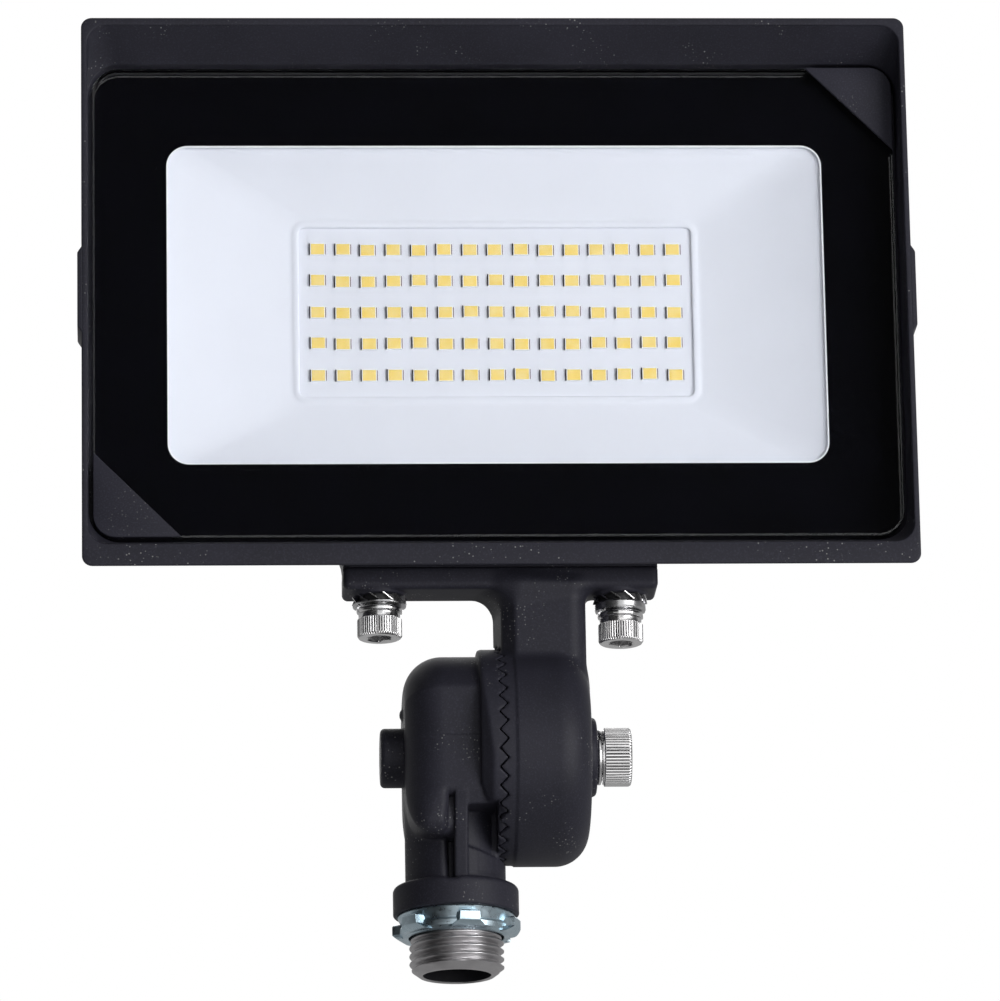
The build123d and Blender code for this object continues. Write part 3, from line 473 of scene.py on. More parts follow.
def facing(outline: Outline, depth: float, x: float = 0.0, z: float = 0.0) -> Array:
    """Stand an outline up in the lamp head, at a depth, about the head's centre."""
    return np.array([(HEAD_X + x + a, RIM_Y + depth, HEAD_Z + z + b) for a, b in outline])


def level(outline: Outline, z: float, x: float = 0.0, y: float = 0.0) -> Array:
    """Lay an outline down at a height."""
    return np.array([(x + a, y + b, z) for a, b in outline])


def revolved(
    profile: Sequence[tuple[float, float]],
    axis: Turned,
    centre: tuple[float, float, float],
    segments: int = 64,
    swell: Callable[[float, float, float], float] | None = None,
) -> list[Array]:
    """Rings of a turned shape.

    Args:
        profile: Pairs of radius and place along the axis.
        axis: The axis it stands on.
        centre: A point on that axis, where the place along it is 0.
        segments: Points in each ring.
        swell: Gives an addition to the radius, from the radius, the place and the turn.

    Returns:
        One ring for each pair.
    """
    rings = []
    for radius, along in profile:
        ring = []
        for k in range(segments):
            turn = tau * k / segments
            r = radius + (swell(radius, along, turn) if swell else 0.0)
            if axis is Turned.UP:
                ring.append((centre[0] + r * cos(turn), centre[1] + r * sin(turn), centre[2] + along))
            else:
                ring.append((centre[0] + along, centre[1] + r * cos(turn), centre[2] + r * sin(turn)))
        rings.append(np.array(ring))
    return rings


# Fields, for the two castings. A field is below 0 inside the metal.


def meet(a: Array, b: Array, rounding: float | Array = 0.0) -> Array:
    """Space inside both a and b, its outer edge rounded."""
    outside = np.hypot(np.maximum(a + rounding, 0), np.maximum(b + rounding, 0))
    return np.minimum(-rounding, np.maximum(a, b)) + outside


def join(a: Array, b: Array, fillet: float | Array = 0.0) -> Array:
    """Space inside a or b, the corner between them filled."""
    return -meet(-a, -b, fillet)


def carve(a: Array, b: Array, rounding: float | Array = 0.0) -> Array:
    """Space inside a and outside b."""
    return meet(a, -b, rounding)


def ease(value: Array, start: float, end: float) -> Array:
    """0 before start, 1 after end and straight between."""
    return np.clip((value - start) / (end - start), 0, 1)


def skin(field: Callable[[Array, Array, Array], Array], low: Vector, high: Vector, step: float) -> tuple[Array, Array]:
    """Mesh the surface where a field is 0.

    Args:
        field: The field, of x, y and z.
        low: Lowest corner of the box that holds the shape.
        high: Highest corner of that box.
        step: Size of the mesh's squares.

    Returns:
        The points and the four-cornered faces.
    """
    axes = [np.arange(a, b + step, step, dtype=np.float64) for a, b in zip(low, high)]
    grid = np.meshgrid(*axes, indexing="ij")
    values = field(*grid)
    inside = values < 0
    shape = np.array(values.shape) - 1
    corners = [(i, j, k) for i in (0, 1) for j in (0, 1) for k in (0, 1)]

    def shifted(data: Array, offset: Sequence[int]) -> Array:
        """The values at one corner of every cell."""
        i, j, k = offset
        return data[i : i + shape[0], j : j + shape[1], k : k + shape[2]]

    filled = sum(shifted(inside, c).astype(np.int8) for c in corners)
    cells = np.argwhere((filled > 0) & (filled < 8))
    number = -np.ones(shape, dtype=np.int64)
    number[tuple(cells.T)] = np.arange(len(cells))
    total = np.zeros((len(cells), 3))
    crossings = np.zeros(len(cells))
    for a in corners:
        for along in range(3):
            if a[along]:
                continue
            b = tuple(c + (n == along) for n, c in enumerate(a))
            va = values[tuple((cells + a).T)]
            vb = values[tuple((cells + b).T)]
            crossed = (va < 0) != (vb < 0)
            share = np.where(crossed, va / np.where(crossed, va - vb, 1.0), 0.0)
            place = cells + np.array(a, dtype=float)
            place[:, along] += share
            total += place * crossed[:, None]
            crossings += crossed
    points = np.array(list(low)) + total / crossings[:, None] * step
    faces = []
    for along in range(3):
        one, two = [(along + 1) % 3, (along + 2) % 3]
        ahead = np.roll(inside, -1, axis=along)
        edges = np.argwhere(inside != ahead)
        kept = (edges[:, along] < shape[along]) & (edges[:, one] > 0) & (edges[:, two] > 0)
        kept &= (edges[:, one] < shape[one]) & (edges[:, two] < shape[two])
        edges = edges[kept]
        around = []
        for da, db in ((1, 1), (0, 1), (0, 0), (1, 0)):
            cell = edges.copy()
            cell[:, one] -= da
            cell[:, two] -= db
            around.append(number[tuple(cell.T)])
        quads = np.stack(around, axis=1)
        solid_below = inside[tuple(edges.T)]
        quads[~solid_below] = quads[~solid_below][:, ::-1]
        faces.append(quads)
    nudge = 1e-3
    for _ in range(3):
        value = field(*points.T)
        slope = np.stack(
            [
                (field(*(points + nudge * d).T) - field(*(points - nudge * d).T)) / (2 * nudge)
                for d in np.eye(3)
            ],
            axis=1,
        )
        size = np.maximum((slope**2).sum(axis=1), 0.05)
        move = -(value / size)[:, None] * slope
        points = points + np.clip(move, -0.4 * step, 0.4 * step)
    return points, np.concatenate(faces)


def field_piece(
    name: str,
    field: Callable[[Array, Array, Array], Array],
    low: Sequence[float],
    high: Sequence[float],
    step: float,
    finish: Finish,
) -> bpy.types.Object:
    """Make a casting of a field.

    Args:
        name: The piece's name.
        field: Its field.
        low: Lowest corner of the box that holds it.
        high: Highest corner of that box.
        step: Size of the mesh's squares.
        finish: Its finish.

    Returns:
        The object.
    """
    points, faces = skin(field, low, high, step)
    return mesh_piece(name, points, faces, finish, 50.0)


# Repeats, by geometry nodes


class Repeat:
    """A modifier tree that repeats an object's own mesh and gives it a material."""

    def __init__(self, name: str) -> None:
        """Start a tree with a mesh in and a mesh out.

        Args:
            name: The tree's name.
        """
        self.tree = bpy.data.node_groups.new(name, "GeometryNodeTree")
        self.sheet = NodeSheet(self.tree)
        self.named: dict[str, str] = {}
        self.source = self.sheet.add("NodeGroupInput")
        self.tree.interface.new_socket("Geometry", in_out="INPUT", socket_type="NodeSocketGeometry")
        self.tree.interface.new_socket("Geometry", in_out="OUTPUT", socket_type="NodeSocketGeometry")

    def size(self, name: str, kind: str) -> Link:
        """Add a named input.

        Args:
            name: The input's name.
            kind: Float, Int, Vector or Material.

        Returns:
            The output socket that carries it inside the tree.
        """
        socket = self.tree.interface.new_socket(name, in_out="INPUT", socket_type=f"NodeSocket{kind}")
        self.named[name] = socket.identifier
        return self.source.outputs[name]

    def close(self, places: Link, turn: Link | None = None, weld: Link | None = None) -> None:
        """Put the mesh at places, make it real, weld it and give it its material."""
        inputs = {"Points": places, "Instance": self.source.outputs["Geometry"]}
        if turn is not None:
            inputs["Rotation"] = turn
        made = self.sheet.add("GeometryNodeInstanceOnPoints", inputs).outputs[0]
        made = self.sheet.add("GeometryNodeRealizeInstances", {"Geometry": made}).outputs[0]
        if weld is not None:
            made = self.sheet.add("GeometryNodeMergeByDistance", {"Geometry": made, "Distance": weld}).outputs[0]
        material = self.size("Finish", "Material")
        made = self.sheet.add("GeometryNodeSetMaterial", {"Geometry": made, "Material": material}).outputs[0]
        end = self.sheet.add("NodeGroupOutput")
        self.tree.links.new(made, end.inputs["Geometry"])

    def apply(self, piece: bpy.types.Object, finish: Finish, **values: object) -> bpy.types.Object:
        """Repeat a piece's mesh and keep the plain result.

        Args:
            piece: The piece that holds one copy.
            finish: The result's finish.
            **values: The tree's named inputs, with _ for spaces.

        Returns:
            The same piece, with all the copies in its mesh and no modifier.
        """
        modifier = piece.modifiers.new(self.tree.name, "NODES")
        modifier.node_group = self.tree
        for name, value in {**values, "Finish": finish.material()}.items():
            modifier[self.named[name.replace("_", " ")]] = value
        graph = bpy.context.evaluated_depsgraph_get()
        mesh = bpy.data.meshes.new_from_object(piece.evaluated_get(graph))
        piece.modifiers.remove(modifier)
        piece.data = mesh
        return piece


def ring_repeat() -> Repeat:
    """Tree that turns copies round the vertical axis through a point."""
    repeat = Repeat("copies_round_an_axis")
    sheet = repeat.sheet
    count = repeat.size("Count", "Int")
    centre = repeat.size("Centre", "Vector")
    start = repeat.size("Start Turn", "Float")
    weld = repeat.size("Weld Distance", "Float")
    points = sheet.add("GeometryNodePoints", {"Count": count, "Position": centre}).outputs[0]
    index = sheet.add("GeometryNodeInputIndex").outputs[0]
    angle = sheet.math("DIVIDE", sheet.math("MULTIPLY", index, tau), count)
    angle = sheet.math("ADD", angle, start)
    turn = sheet.add("ShaderNodeCombineXYZ", {"Z": angle}).outputs[0]
    repeat.close(points, turn, weld)
    return repeat


def row_repeat() -> Repeat:
    """Tree that sets copies in a row along X, centred on the piece's own place."""
    repeat = Repeat("copies_in_a_row")
    sheet = repeat.sheet
    count = repeat.size("Count", "Int")
    pitch = repeat.size("Pitch", "Float")
    offset = sheet.add("ShaderNodeCombineXYZ", {"X": pitch}).outputs[0]
    gaps = sheet.math("SUBTRACT", count, 1.0)
    half = sheet.math("MULTIPLY", sheet.math("MULTIPLY", gaps, pitch), -0.5)
    start = sheet.add("ShaderNodeCombineXYZ", {"X": half}).outputs[0]
    line = sheet.add("GeometryNodeMeshLine", {"Count": count, "Start Location": start, "Offset": offset}).outputs[0]
    repeat.close(line)
    return repeat


def grid_repeat() -> Repeat:
    """Tree that sets copies on an upright grid, each a little out of line."""
    repeat = Repeat("copies_on_a_grid")
    sheet = repeat.sheet
    columns = repeat.size("Columns", "Int")
    rows = repeat.size("Rows", "Int")
    pitch_x = repeat.size("Pitch Across", "Float")
    pitch_z = repeat.size("Pitch Up", "Float")
    shake = repeat.size("Shake", "Vector")
    seed = repeat.size("Seed", "Int")
    count = sheet.math("MULTIPLY", columns, rows)
    index = sheet.add("GeometryNodeInputIndex").outputs[0]
    row = sheet.math("FLOOR", sheet.math("DIVIDE", sheet.math("ADD", index, 0.5), columns))
    column = sheet.math("SUBTRACT", index, sheet.math("MULTIPLY", row, columns))
    across = sheet.math("SUBTRACT", column, sheet.math("MULTIPLY", sheet.math("SUBTRACT", columns, 1.0), 0.5))
    up = sheet.math("SUBTRACT", row, sheet.math("MULTIPLY", sheet.math("SUBTRACT", rows, 1.0), 0.5))
    x = sheet.math("MULTIPLY", across, pitch_x)
    z = sheet.math("MULTIPLY", up, pitch_z)
    place = sheet.add("ShaderNodeCombineXYZ", {"X": x, "Z": z}).outputs[0]
    back = sheet.add("ShaderNodeVectorMath", {0: shake, "Scale": -1.0}, operation="SCALE").outputs[0]
    inputs = {0: back, 1: shake, "ID": index, "Seed": seed}
    stray = sheet.add("FunctionNodeRandomValue", inputs, data_type="FLOAT_VECTOR").outputs[0]
    spot = sheet.add("ShaderNodeVectorMath", {0: place, 1: stray}, operation="ADD").outputs[0]
    points = sheet.add("GeometryNodePoints", {"Count": count, "Position": spot}).outputs[0]
    repeat.close(points)
    return repeat


@dataclass
class SubAssembly:
    """A group of pieces that are built together and ride on one body or several."""

    def seat(self, piece: bpy.types.Object, body: Body, slot: str, *nodes: str) -> bpy.types.Object:
        """Args:
            piece: The finished piece.
            body: The body it rides on.
            slot: The record's material slot; not used.
            *nodes: The CAD nodes that it replaces.

        Returns:
            The piece.
        """
        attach(piece, body.value)
        if nodes:
            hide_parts(*nodes)
        LOG.info("%s rides on %s, %d faces", piece.name, body.value, len(piece.data.polygons))
        return piece


@dataclass
class Serration:
    """Teeth between the two halves of the knuckle, straight flanks that run to the pivot axis."""

    x: float = 10.1
    outer_r: float = 24.1
    inner_r: float = 19.4
    amplitude: float = 1.0
    count: int = 36
    phase: float = 0.19
    gap: float = 0.15

    def line(self, y: Array, w: Array) -> Array:
        """Place of the parting surface along X, for points at y and at w above the pivot."""
        radius = np.hypot(y, w)
        turn = np.arctan2(w, y) / tau * self.count + self.phase
        wave = 1 - 4 * np.abs(turn - np.floor(turn) - 0.5)
        height = self.amplitude * radius / self.outer_r * ease(radius, self.inner_r - 0.6, self.inner_r)
        return self.x + height * wave


@dataclass
class Arm(SubAssembly):
    """Fixed half of the knuckle on its threaded nipple."""

    teeth: Serration
    crown_r: float = 22.4
    pod_half_depth: float = 18.7
    pod_bottom: float = 20.7
    pod_left: float = -11.2
    disc_r: float = 24.0
    disc_left: float = 5.15
    column_r: float = 11.1
    collar_r: float = 13.9
    collar_low: float = 9.5
    collar_high: float = 16.0
    rib_left: float = -0.7
    rib_right: float = 2.2
    recess_right: float = 8.9
    boss_r: float = 6.6
    boss_left: float = -16.3
    step: float = 0.4

    def field(self, x: Array, y: Array, z: Array) -> Array:
        """Field of the casting."""
        w = z - PIVOT_Z
        radius = np.hypot(y, w)
        around = np.hypot(x, y)
        front = -self.pod_half_depth
        crown = np.hypot(y, np.maximum(w, 0)) - self.crown_r
        side = np.abs(y) - self.pod_half_depth - 0.35 * ease(w, 0.6, 1.1)
        outline = meet(meet(crown, side, 0.35), -w - self.pod_bottom, 3.6)
        left = self.pod_left + 0.015 * np.clip(-9 - w, 0, 12) ** 2
        pod = meet(outline, left - x, 8.6 - 4.6 * ease(-w, 10, 19))
        pod = meet(pod, x - self.disc_left - 1.0)
        disc = meet(radius - self.disc_r, self.disc_left - x)
        slope = 0.5 + 2.1 * ease(-w, -13, 5)
        disc = meet(disc, (0.8 * (self.disc_left + slope - x) + radius - self.disc_r) / 1.28, 0.3)
        body = join(pod, disc, 0.35)
        slant = front - 0.37 * (w + 10.9)
        bend = np.clip((x - 5.6) / 4.4, 0, 1)
        roof = -10.9 - 4.9 * np.sqrt(1 - (1 - bend) ** 2)
        notch = meet(meet(w - roof, y - slant, 0.0), self.rib_left - x)
        body = carve(body, meet(notch, x - self.recess_right), 0.45 + 3.4 * ease(-w, 11.5, 17))
        column = meet(around - self.column_r, w)
        column = meet(column, self.collar_low - z)
        collar = meet(meet(around - self.collar_r, z - self.collar_high, 1.3), self.collar_low - z, 0.4)
        body = join(body, join(column, collar, 0.5), 0.7)
        floor = np.where(w > -20.6, -15.6, -8.2)
        groove = meet(meet(np.abs(x + 1.35) - 0.6, w + 12.2), meet(y - floor, -29.3 - w))
        body = carve(body, groove, 1.9)
        pocket = meet(meet(self.rib_left - x, x - self.recess_right), w + 14.6 - 0.06 * x)
        pocket = meet(pocket, -22.3 - 0.3 * (x - 2.4) - w)
        pocket = meet(meet(pocket, 10.2 - around, 0.4), y + 6.6)
        body = carve(body, pocket, 0.35)
        low_disc = meet(meet(meet(self.disc_left - 0.6 - x, x - self.recess_right), w + 19.0), y + 1.0)
        low_disc = meet(low_disc, -28.2 - w)
        body = carve(body, meet(low_disc, self.column_r - around, 0.3), 0.3)
        middle = (self.rib_left + self.rib_right) / 2
        half = (self.rib_right - self.rib_left) / 2
        rib = meet(np.abs(x - middle) - half, slant - y, 0.35)
        rib = meet(meet(rib, w + 11.5), meet(-30.0 - w, y + 8.0))
        body = join(body, rib, 0.4)
        boss = meet(meet(radius - self.boss_r, self.boss_left - x, 1.0), x + 5.0)
        body = join(body, boss, 0.25)
        lump = np.sqrt((x + 10.2) ** 2 + (y + 1.0) ** 2 * 0.3 + (w - 9.6) ** 2) - 1.75
        body = join(body, lump, 0.3)
        rim = meet(radius - 24.8, 9.5 - x)
        body = carve(body, meet(rim, self.disc_r + 0.15 - radius), 0.2)
        body = carve(body, meet(radius - 24.8, self.teeth.line(y, w) - self.teeth.gap - x), 0.12)
        inner = meet(radius - self.teeth.inner_r + 0.3, self.teeth.x - 0.1 - x)
        body = carve(body, inner)
        hub = np.abs(radius - 9.9) - 2.7
        body = carve(body, meet(hub, -4.9 - x, 0.6), 0.3)
        body = carve(body, meet(radius - 4.0, -13.0 - x))
        body = carve(body, meet(around - 7.5, w + 6.5))
        return carve(body, meet(around - 10.3, z - 15.5))

    def build(self) -> None:
        """Build the casting."""
        low = (self.boss_left - 0.7, -24.6, self.collar_low - 0.7)
        high = (self.collar_r + 0.7, 24.6, PIVOT_Z + 24.6)
        casting = field_piece("toothed_arm", self.field, low, high, self.step, POWDER)
        self.seat(casting, Body.ARM, "black_powder_coat", "knuckle_base")


@dataclass
class Nipple(SubAssembly):
    """Short conduit nipple with a real helical thread."""

    crest_r: float = 10.45
    root_r: float = 9.45
    pitch: float = 1.81
    low: float = -4.0
    thread_top: float = 4.35
    shank_top: float = 15.4
    bore_r: float = 7.5
    segments: int = 128

    def thread(self, along: float, turn: float) -> float:
        """Radius of the threaded skin at a height and a turn."""
        phase = (along - self.low) / self.pitch - turn / tau
        wave = abs(2 * (phase - np.floor(phase)) - 1)
        flat = min(1.0, max(0.0, (wave - 0.08) / 0.80))
        radius = self.root_r + (self.crest_r - self.root_r) * flat
        fade = min(1.0, max(0.0, (self.thread_top - along) / 0.7))
        radius = self.root_r + 0.5 + (radius - self.root_r - 0.5) * fade
        cone = 8.3 + (along - self.low) * 1.35
        return min(radius, max(cone, 8.3))

    def build(self) -> None:
        """Build the tube: threaded skin outside, plain bore inside."""
        shape = Shape()
        heights = list(np.arange(self.low + 0.05, self.thread_top + 0.3, self.pitch / 14))
        rings = revolved([(self.bore_r + 0.25, self.low), (8.05, self.low)], Turned.UP, (0, 0, 0), self.segments)
        skin_rings = revolved(
            [(0.0, z) for z in heights],
            Turned.UP,
            (0, 0, 0),
            self.segments,
            lambda _, along, turn: self.thread(along, turn),
        )
        rings += skin_rings
        plain = [(10.15, self.shank_top), (self.bore_r + 0.02, self.shank_top), (self.bore_r + 0.02, self.low + 0.25)]
        rings += revolved(plain, Turned.UP, (0, 0, 0), self.segments)
        shape.loft(rings, looped=True)
        tube = shape.piece("threaded_tube", BARE, 40)
        self.seat(tube, Body.ARM, "nipple_metal", "threaded_nipple")
        liner = Shape()
        wall = [(7.50, self.low + 0.3), (7.50, 15.3), (7.42, 15.3), (7.42, self.low + 0.3)]
        liner.loft(revolved(wall, Turned.UP, (0, 0, 0), 96), looped=True)
        self.seat(liner.piece("dark_bore_wall", GROOVE_SHADE_AND_BORE_DARK), Body.ARM, "nipple_metal", "threaded_nipple")


@dataclass
class LockNut(SubAssembly):
    """Dished zinc-plated ring with lugs bent down round its edge."""

    lug_count: int = 6
    first_lug: float = radians(-90 + 10)
    bore_r: float = 10.5
    low: float = 4.42
    high: float = 9.38

    def build(self, rings: Repeat) -> None:
        """Build the dished ring and its lugs.

        Args:
            rings: The tree that turns copies round an axis.
        """
        shape = Shape()
        profile = [
            (self.bore_r, self.low + 0.15),
            (self.bore_r + 0.15, self.low),
            (11.2, self.low),
            (11.5, self.low + 0.12),
            (12.1, 4.85),
            (12.4, 5.2),
            (12.5, 5.6),
            (12.5, 6.3),
            (12.35, 6.65),
            (12.05, 6.85),
            (12.0, 7.1),
            (12.9, self.high - 0.3),
            (12.85, self.high),
            (11.9, self.high),
            (11.6, self.high - 0.3),
            (11.1, 7.3),
            (self.bore_r, 6.6),
        ]
        shape.loft(revolved(profile, Turned.UP, (0, 0, 0), 112), looped=True)
        ring = shape.piece("dished_nut_ring", ZINC)
        self.seat(ring, Body.LOCKNUT, "zinc_plated", "locknut")
        lug = self.lug().piece("nut_lugs", ZINC, 28)
        rings.apply(
            lug,
            ZINC,
            Count=self.lug_count,
            Centre=(0.0, 0.0, 0.0),
            Start_Turn=self.first_lug,
            Weld_Distance=0.0,
        )
        self.seat(lug, Body.LOCKNUT, "zinc_plated", "locknut")

    def lug(self) -> Shape:
        """One lug on the +X side: flared at its foot, with a flat top."""
        shape = Shape()
        rings = []
        for z, out, half in (
            (4.62, 12.2, 3.9),
            (4.8, 12.75, 3.7),
            (5.3, 13.5, 3.1),
            (5.75, 14.0, 2.45),
            (5.95, 14.1, 2.3),
            (7.75, 14.15, 2.15),
            (8.0, 14.0, 2.0),
            (8.15, 13.7, 1.75),
        ):
            outline = [(out, -half), (out + 0.1, 0.0), (out, half), (11.2, half + 0.5), (11.2, -half - 0.5)]
            rings.append(np.array([(x, y, z) for x, y in outline]))
        shape.loft(rings)
        return shape


@dataclass
class Bracket(SubAssembly):
    """Moving half of the knuckle: drum, neck and flange in one casting."""

    teeth: Serration
    drum_r: float = 24.22
    band_r: float = 23.95
    band_right: float = 13.0
    drum_right: float = 29.75
    shoulder: float = 7.5
    boss_r: float = 8.8
    boss_right: float = 31.6
    neck_left: float = 9.15
    neck_right: float = 29.3
    front: float = -14.0
    back: float = -1.4
    flange_left: float = -24.45
    flange_right: float = 45.35
    flange_low: float = 80.7
    flange_high: float = 85.5
    screw_x: tuple[float, float] = (-16.3, 37.2)
    step: float = 0.42

    def field(self, x: Array, y: Array, z: Array) -> Array:
        """Field of the casting."""
        w = z - PIVOT_Z
        radius = np.hypot(y, w)
        band = self.drum_r - (self.drum_r - self.band_r) * (1 - ease(x, self.band_right - 0.15, self.band_right + 0.15))
        face = self.drum_right + 0.3 * ease(-radius, -16.7, -10.1)
        drum = meet(radius - band, x - face, self.shoulder)
        drum = meet(drum, self.teeth.x - 3.0 - x)
        boss = meet(meet(radius - self.boss_r, x - self.boss_right, 1.0), self.drum_right - 4 - x)
        drum = join(drum, boss, 0.5)
        middle_y = (self.front + self.back) / 2
        half_y = (self.back - self.front) / 2
        middle_x = (self.neck_left + self.neck_right) / 2
        depth = np.abs(y - middle_y) - half_y
        neck = meet(meet(x - self.neck_right, depth, 3.9), (self.neck_left + 0.14 * (self.back - y) - x) / 1.01)
        neck = meet(neck, 0.719 * (10.5 - x) - 0.695 * (y + 11.0), 0.35)
        neck = meet(neck, meet(-w, z - self.flange_low - 1.0))
        flange = meet(x - self.flange_right, depth, 1.3)
        flange = meet(flange, self.flange_left - x, 1.3)
        flange = meet(meet(flange, self.flange_low - z, 1.3), z - self.flange_high, 0.5)
        blend = 5.0 - 2.2 * ease(x, middle_x - 6, middle_x + 6)
        body = join(neck, flange, blend)
        for screw in self.screw_x:
            spot = np.hypot(x - screw, y - FLANGE_Y) - 5.9
            seat = meet(meet(spot, self.flange_low - 0.65 - z, 0.4), z - self.flange_low - 1.0)
            body = join(body, seat, 0.3)
        clear = meet(radius - 24.55, x - self.teeth.line(y, w))
        body = carve(body, clear, 0.2)
        drum = meet(drum, self.teeth.line(y, w) + self.teeth.gap - x, 0.12)
        body = join(body, drum, 1.1)
        body = carve(body, meet(radius - 24.3, x - self.teeth.line(y, w) - self.teeth.gap))
        inner = meet(radius - self.teeth.inner_r + 0.3, x - self.teeth.x - 0.1)
        body = carve(body, inner)
        hub = np.abs(radius - 9.9) - 2.7
        body = carve(body, meet(hub, x - 21.7, 0.6), 0.3)
        groove = meet(np.abs(radius - 18.0) - 0.97, x - 12.0)
        body = carve(body, groove)
        body = carve(body, radius - 4.3 + 100.0 * (x < 0))
        for screw in self.screw_x:
            hole = meet(np.hypot(x - screw, y - FLANGE_Y) - 3.3, 76.0 - z)
            body = carve(body, hole)
        return body

    def build(self) -> None:
        """Build the casting."""
        low = (self.flange_left - 0.8, -25.0, PIVOT_Z - 25.0)
        high = (self.flange_right + 0.8, 25.0, self.flange_high + 0.8)
        casting = field_piece("toothed_bracket", self.field, low, high, self.step, POWDER)
        self.seat(casting, Body.HEAD, "black_powder_coat", "knuckle_bracket")


@dataclass
class SocketScrews(SubAssembly):
    """Socket-head screws with knurled heads, and the washers under them."""

    seat_z: float = 80.0
    screw_x: tuple[float, float] = (-16.3, 37.2)
    tooth_height: tuple[float, float] = (2.1, 3.5)
    split_height: float = 1.7
    teeth_zone: float = 1.6
    tooth_count: int = 12

    def head(
        self, head_r: float, collar_r: float, collar: float, height: float, across: float, deep: float, shank_r: float
    ) -> list[tuple[float, float, bool]]:
        """Profile of a screw from the shank's end to the bottom of the socket.

        Args:
            head_r: The knurled head's radius.
            collar_r: Radius of the smooth collar under it.
            collar: The collar's height.
            height: Height of the whole head.
            across: Width of the hexagon socket across its flats.
            deep: Depth of the socket; not used.
            shank_r: The shank's radius.

        Returns:
            Triples of radius, place along the axis from the head's seat, and whether it is knurled.
        """
        rim = across / 2 + 0.45
        return [
            (shank_r - 0.6, -9.6, False),
            (shank_r, -9.0, False),
            (shank_r, 0.0, False),
            (collar_r - 0.15, 0.0, False),
            (collar_r, 0.15, False),
            (collar_r, collar - 0.1, False),
            (collar_r + 0.02, collar, False),
            (head_r - 0.15, collar + 0.03, True),
            (head_r, collar + 0.2, True),
            (head_r, height - 0.55, True),
            (head_r - 0.1, height - 0.35, True),
            (head_r - 0.3, height - 0.1, False),
            (head_r - 0.5, height, False),
            (rim + 0.1, height, False),
            (rim - 0.12, height - 0.12, False),
        ]

    def screw(
        self,
        shape: Shape,
        axis: Turned,
        centre: tuple[float, float, float],
        way: int,
        sizes: tuple[float, ...],
        knurls: int,
    ) -> None:
        """Add one screw.

        Args:
            shape: The shape that it goes into.
            axis: The axis that it lies on.
            centre: The middle of the head's seat.
            way: 1 if the head points along the axis, -1 if against it.
            sizes: The sizes that head() takes.
            knurls: Ridges round the head.
        """
        profile = self.head(*sizes)
        across, deep, height = sizes[4], sizes[5], sizes[3]
        per_knurl = 6
        segments = knurls * per_knurl
        dips = {0: -0.24, 1: -0.08, 2: 0.0, 3: 0.0, 4: 0.0, 5: -0.08}
        knurled = {round(way * along, 4): is_knurled for _, along, is_knurled in profile}

        def swell(_: float, along: float, turn: float) -> float:
            """Dip between two knurls."""
            if not knurled.get(round(along, 4)):
                return 0.0
            return dips[round(turn / tau * segments) % per_knurl]

        rings = revolved([(r, way * a) for r, a, _ in profile], axis, centre, segments, swell)
        for scale, along in ((1.0, height - 0.25), (1.0, height - deep), (0.35, height - deep - 0.8)):
            ring = []
            for k in range(segments):
                turn = tau * k / segments
                sector = (turn + pi / 6) % (pi / 3) - pi / 6
                r = scale * across / 2 / cos(sector)
                if axis is Turned.UP:
                    ring.append((centre[0] + r * cos(turn), centre[1] + r * sin(turn), centre[2] + way * along))
                else:
                    ring.append((centre[0] + way * along, centre[1] + r * cos(turn), centre[2] + r * sin(turn)))
            rings.append(np.array(ring))
        shape.loft(rings)

    def knurl_shade_band(
        self, shape: Shape, axis: Turned, centre: tuple[float, float, float], way: int, sizes: tuple[float, ...]
    ) -> None:
        """Add the dark band of painted shade that shows only between the knurls of one head.

        Args:
            shape: The shape that it goes into.
            axis: The axis that the screw lies on.
            centre: The middle of the head's seat.
            way: 1 if the head points along the axis, -1 if against it.
            sizes: The sizes that head() takes.
        """
        head_r, collar, height = sizes[0], sizes[2], sizes[3]
        low, high = way * (collar + 0.3), way * (height - 0.6)
        wall = [(head_r - 0.4, low), (head_r - 0.12, low), (head_r - 0.12, high), (head_r - 0.4, high)]
        shape.loft(revolved(wall, axis, centre, 96), looped=True)

    def split_ring(
        self, axis: Turned, centre: tuple[float, float, float], sizes: tuple[float, float, float], start: float
    ) -> Shape:
        """A spring washer: one turn of square wire whose ends stand a little apart.

        Args:
            axis: The axis that it lies on.
            centre: The middle of its lower face.
            sizes: Outer radius, inner radius and height.
            start: The turn where it is split.

        Returns:
            The washer's shape.
        """
        outer, inner, height = sizes
        wire = height * 0.80
        rings = []
        for k in range(73):
            share = k / 72
            turn = start + radians(5) + share * (tau - radians(10))
            rise = (height - wire) * share
            section = [
                (outer - 0.38, rise),
                (outer - 0.11, rise + 0.11),
                (outer, rise + 0.38),
                (outer, rise + wire - 0.38),
                (outer - 0.11, rise + wire - 0.11),
                (outer - 0.38, rise + wire),
                (inner + 0.12, rise + wire),
                (inner, rise + wire - 0.12),
                (inner, rise + 0.12),
                (inner + 0.12, rise),
            ]
            if axis is Turned.UP:
                ring = [(centre[0] + r * cos(turn), centre[1] + r * sin(turn), centre[2] + a) for r, a in section]
            else:
                ring = [(centre[0] + a, centre[1] + r * cos(turn), centre[2] + r * sin(turn)) for r, a in section]
            rings.append(np.array(ring))
        shape = Shape()
        shape.loft(rings)
        return shape

    def tooth(self) -> Shape:
        """One slanted tooth of a tooth washer on the +X side, about a centre at 0."""
        shape = Shape()
        rings = []
        half = self.teeth_zone / 2
        for r, lean in ((4.5, 0.7), (5.2, 0.95), (5.95, 1.1)):
            section = [(-lean - 0.17, half), (-lean + 0.17, half), (lean + 0.17, -half), (lean - 0.17, -half)]
            rings.append(np.array([(r, a, b) for a, b in section]))
        shape.loft(rings)
        return shape

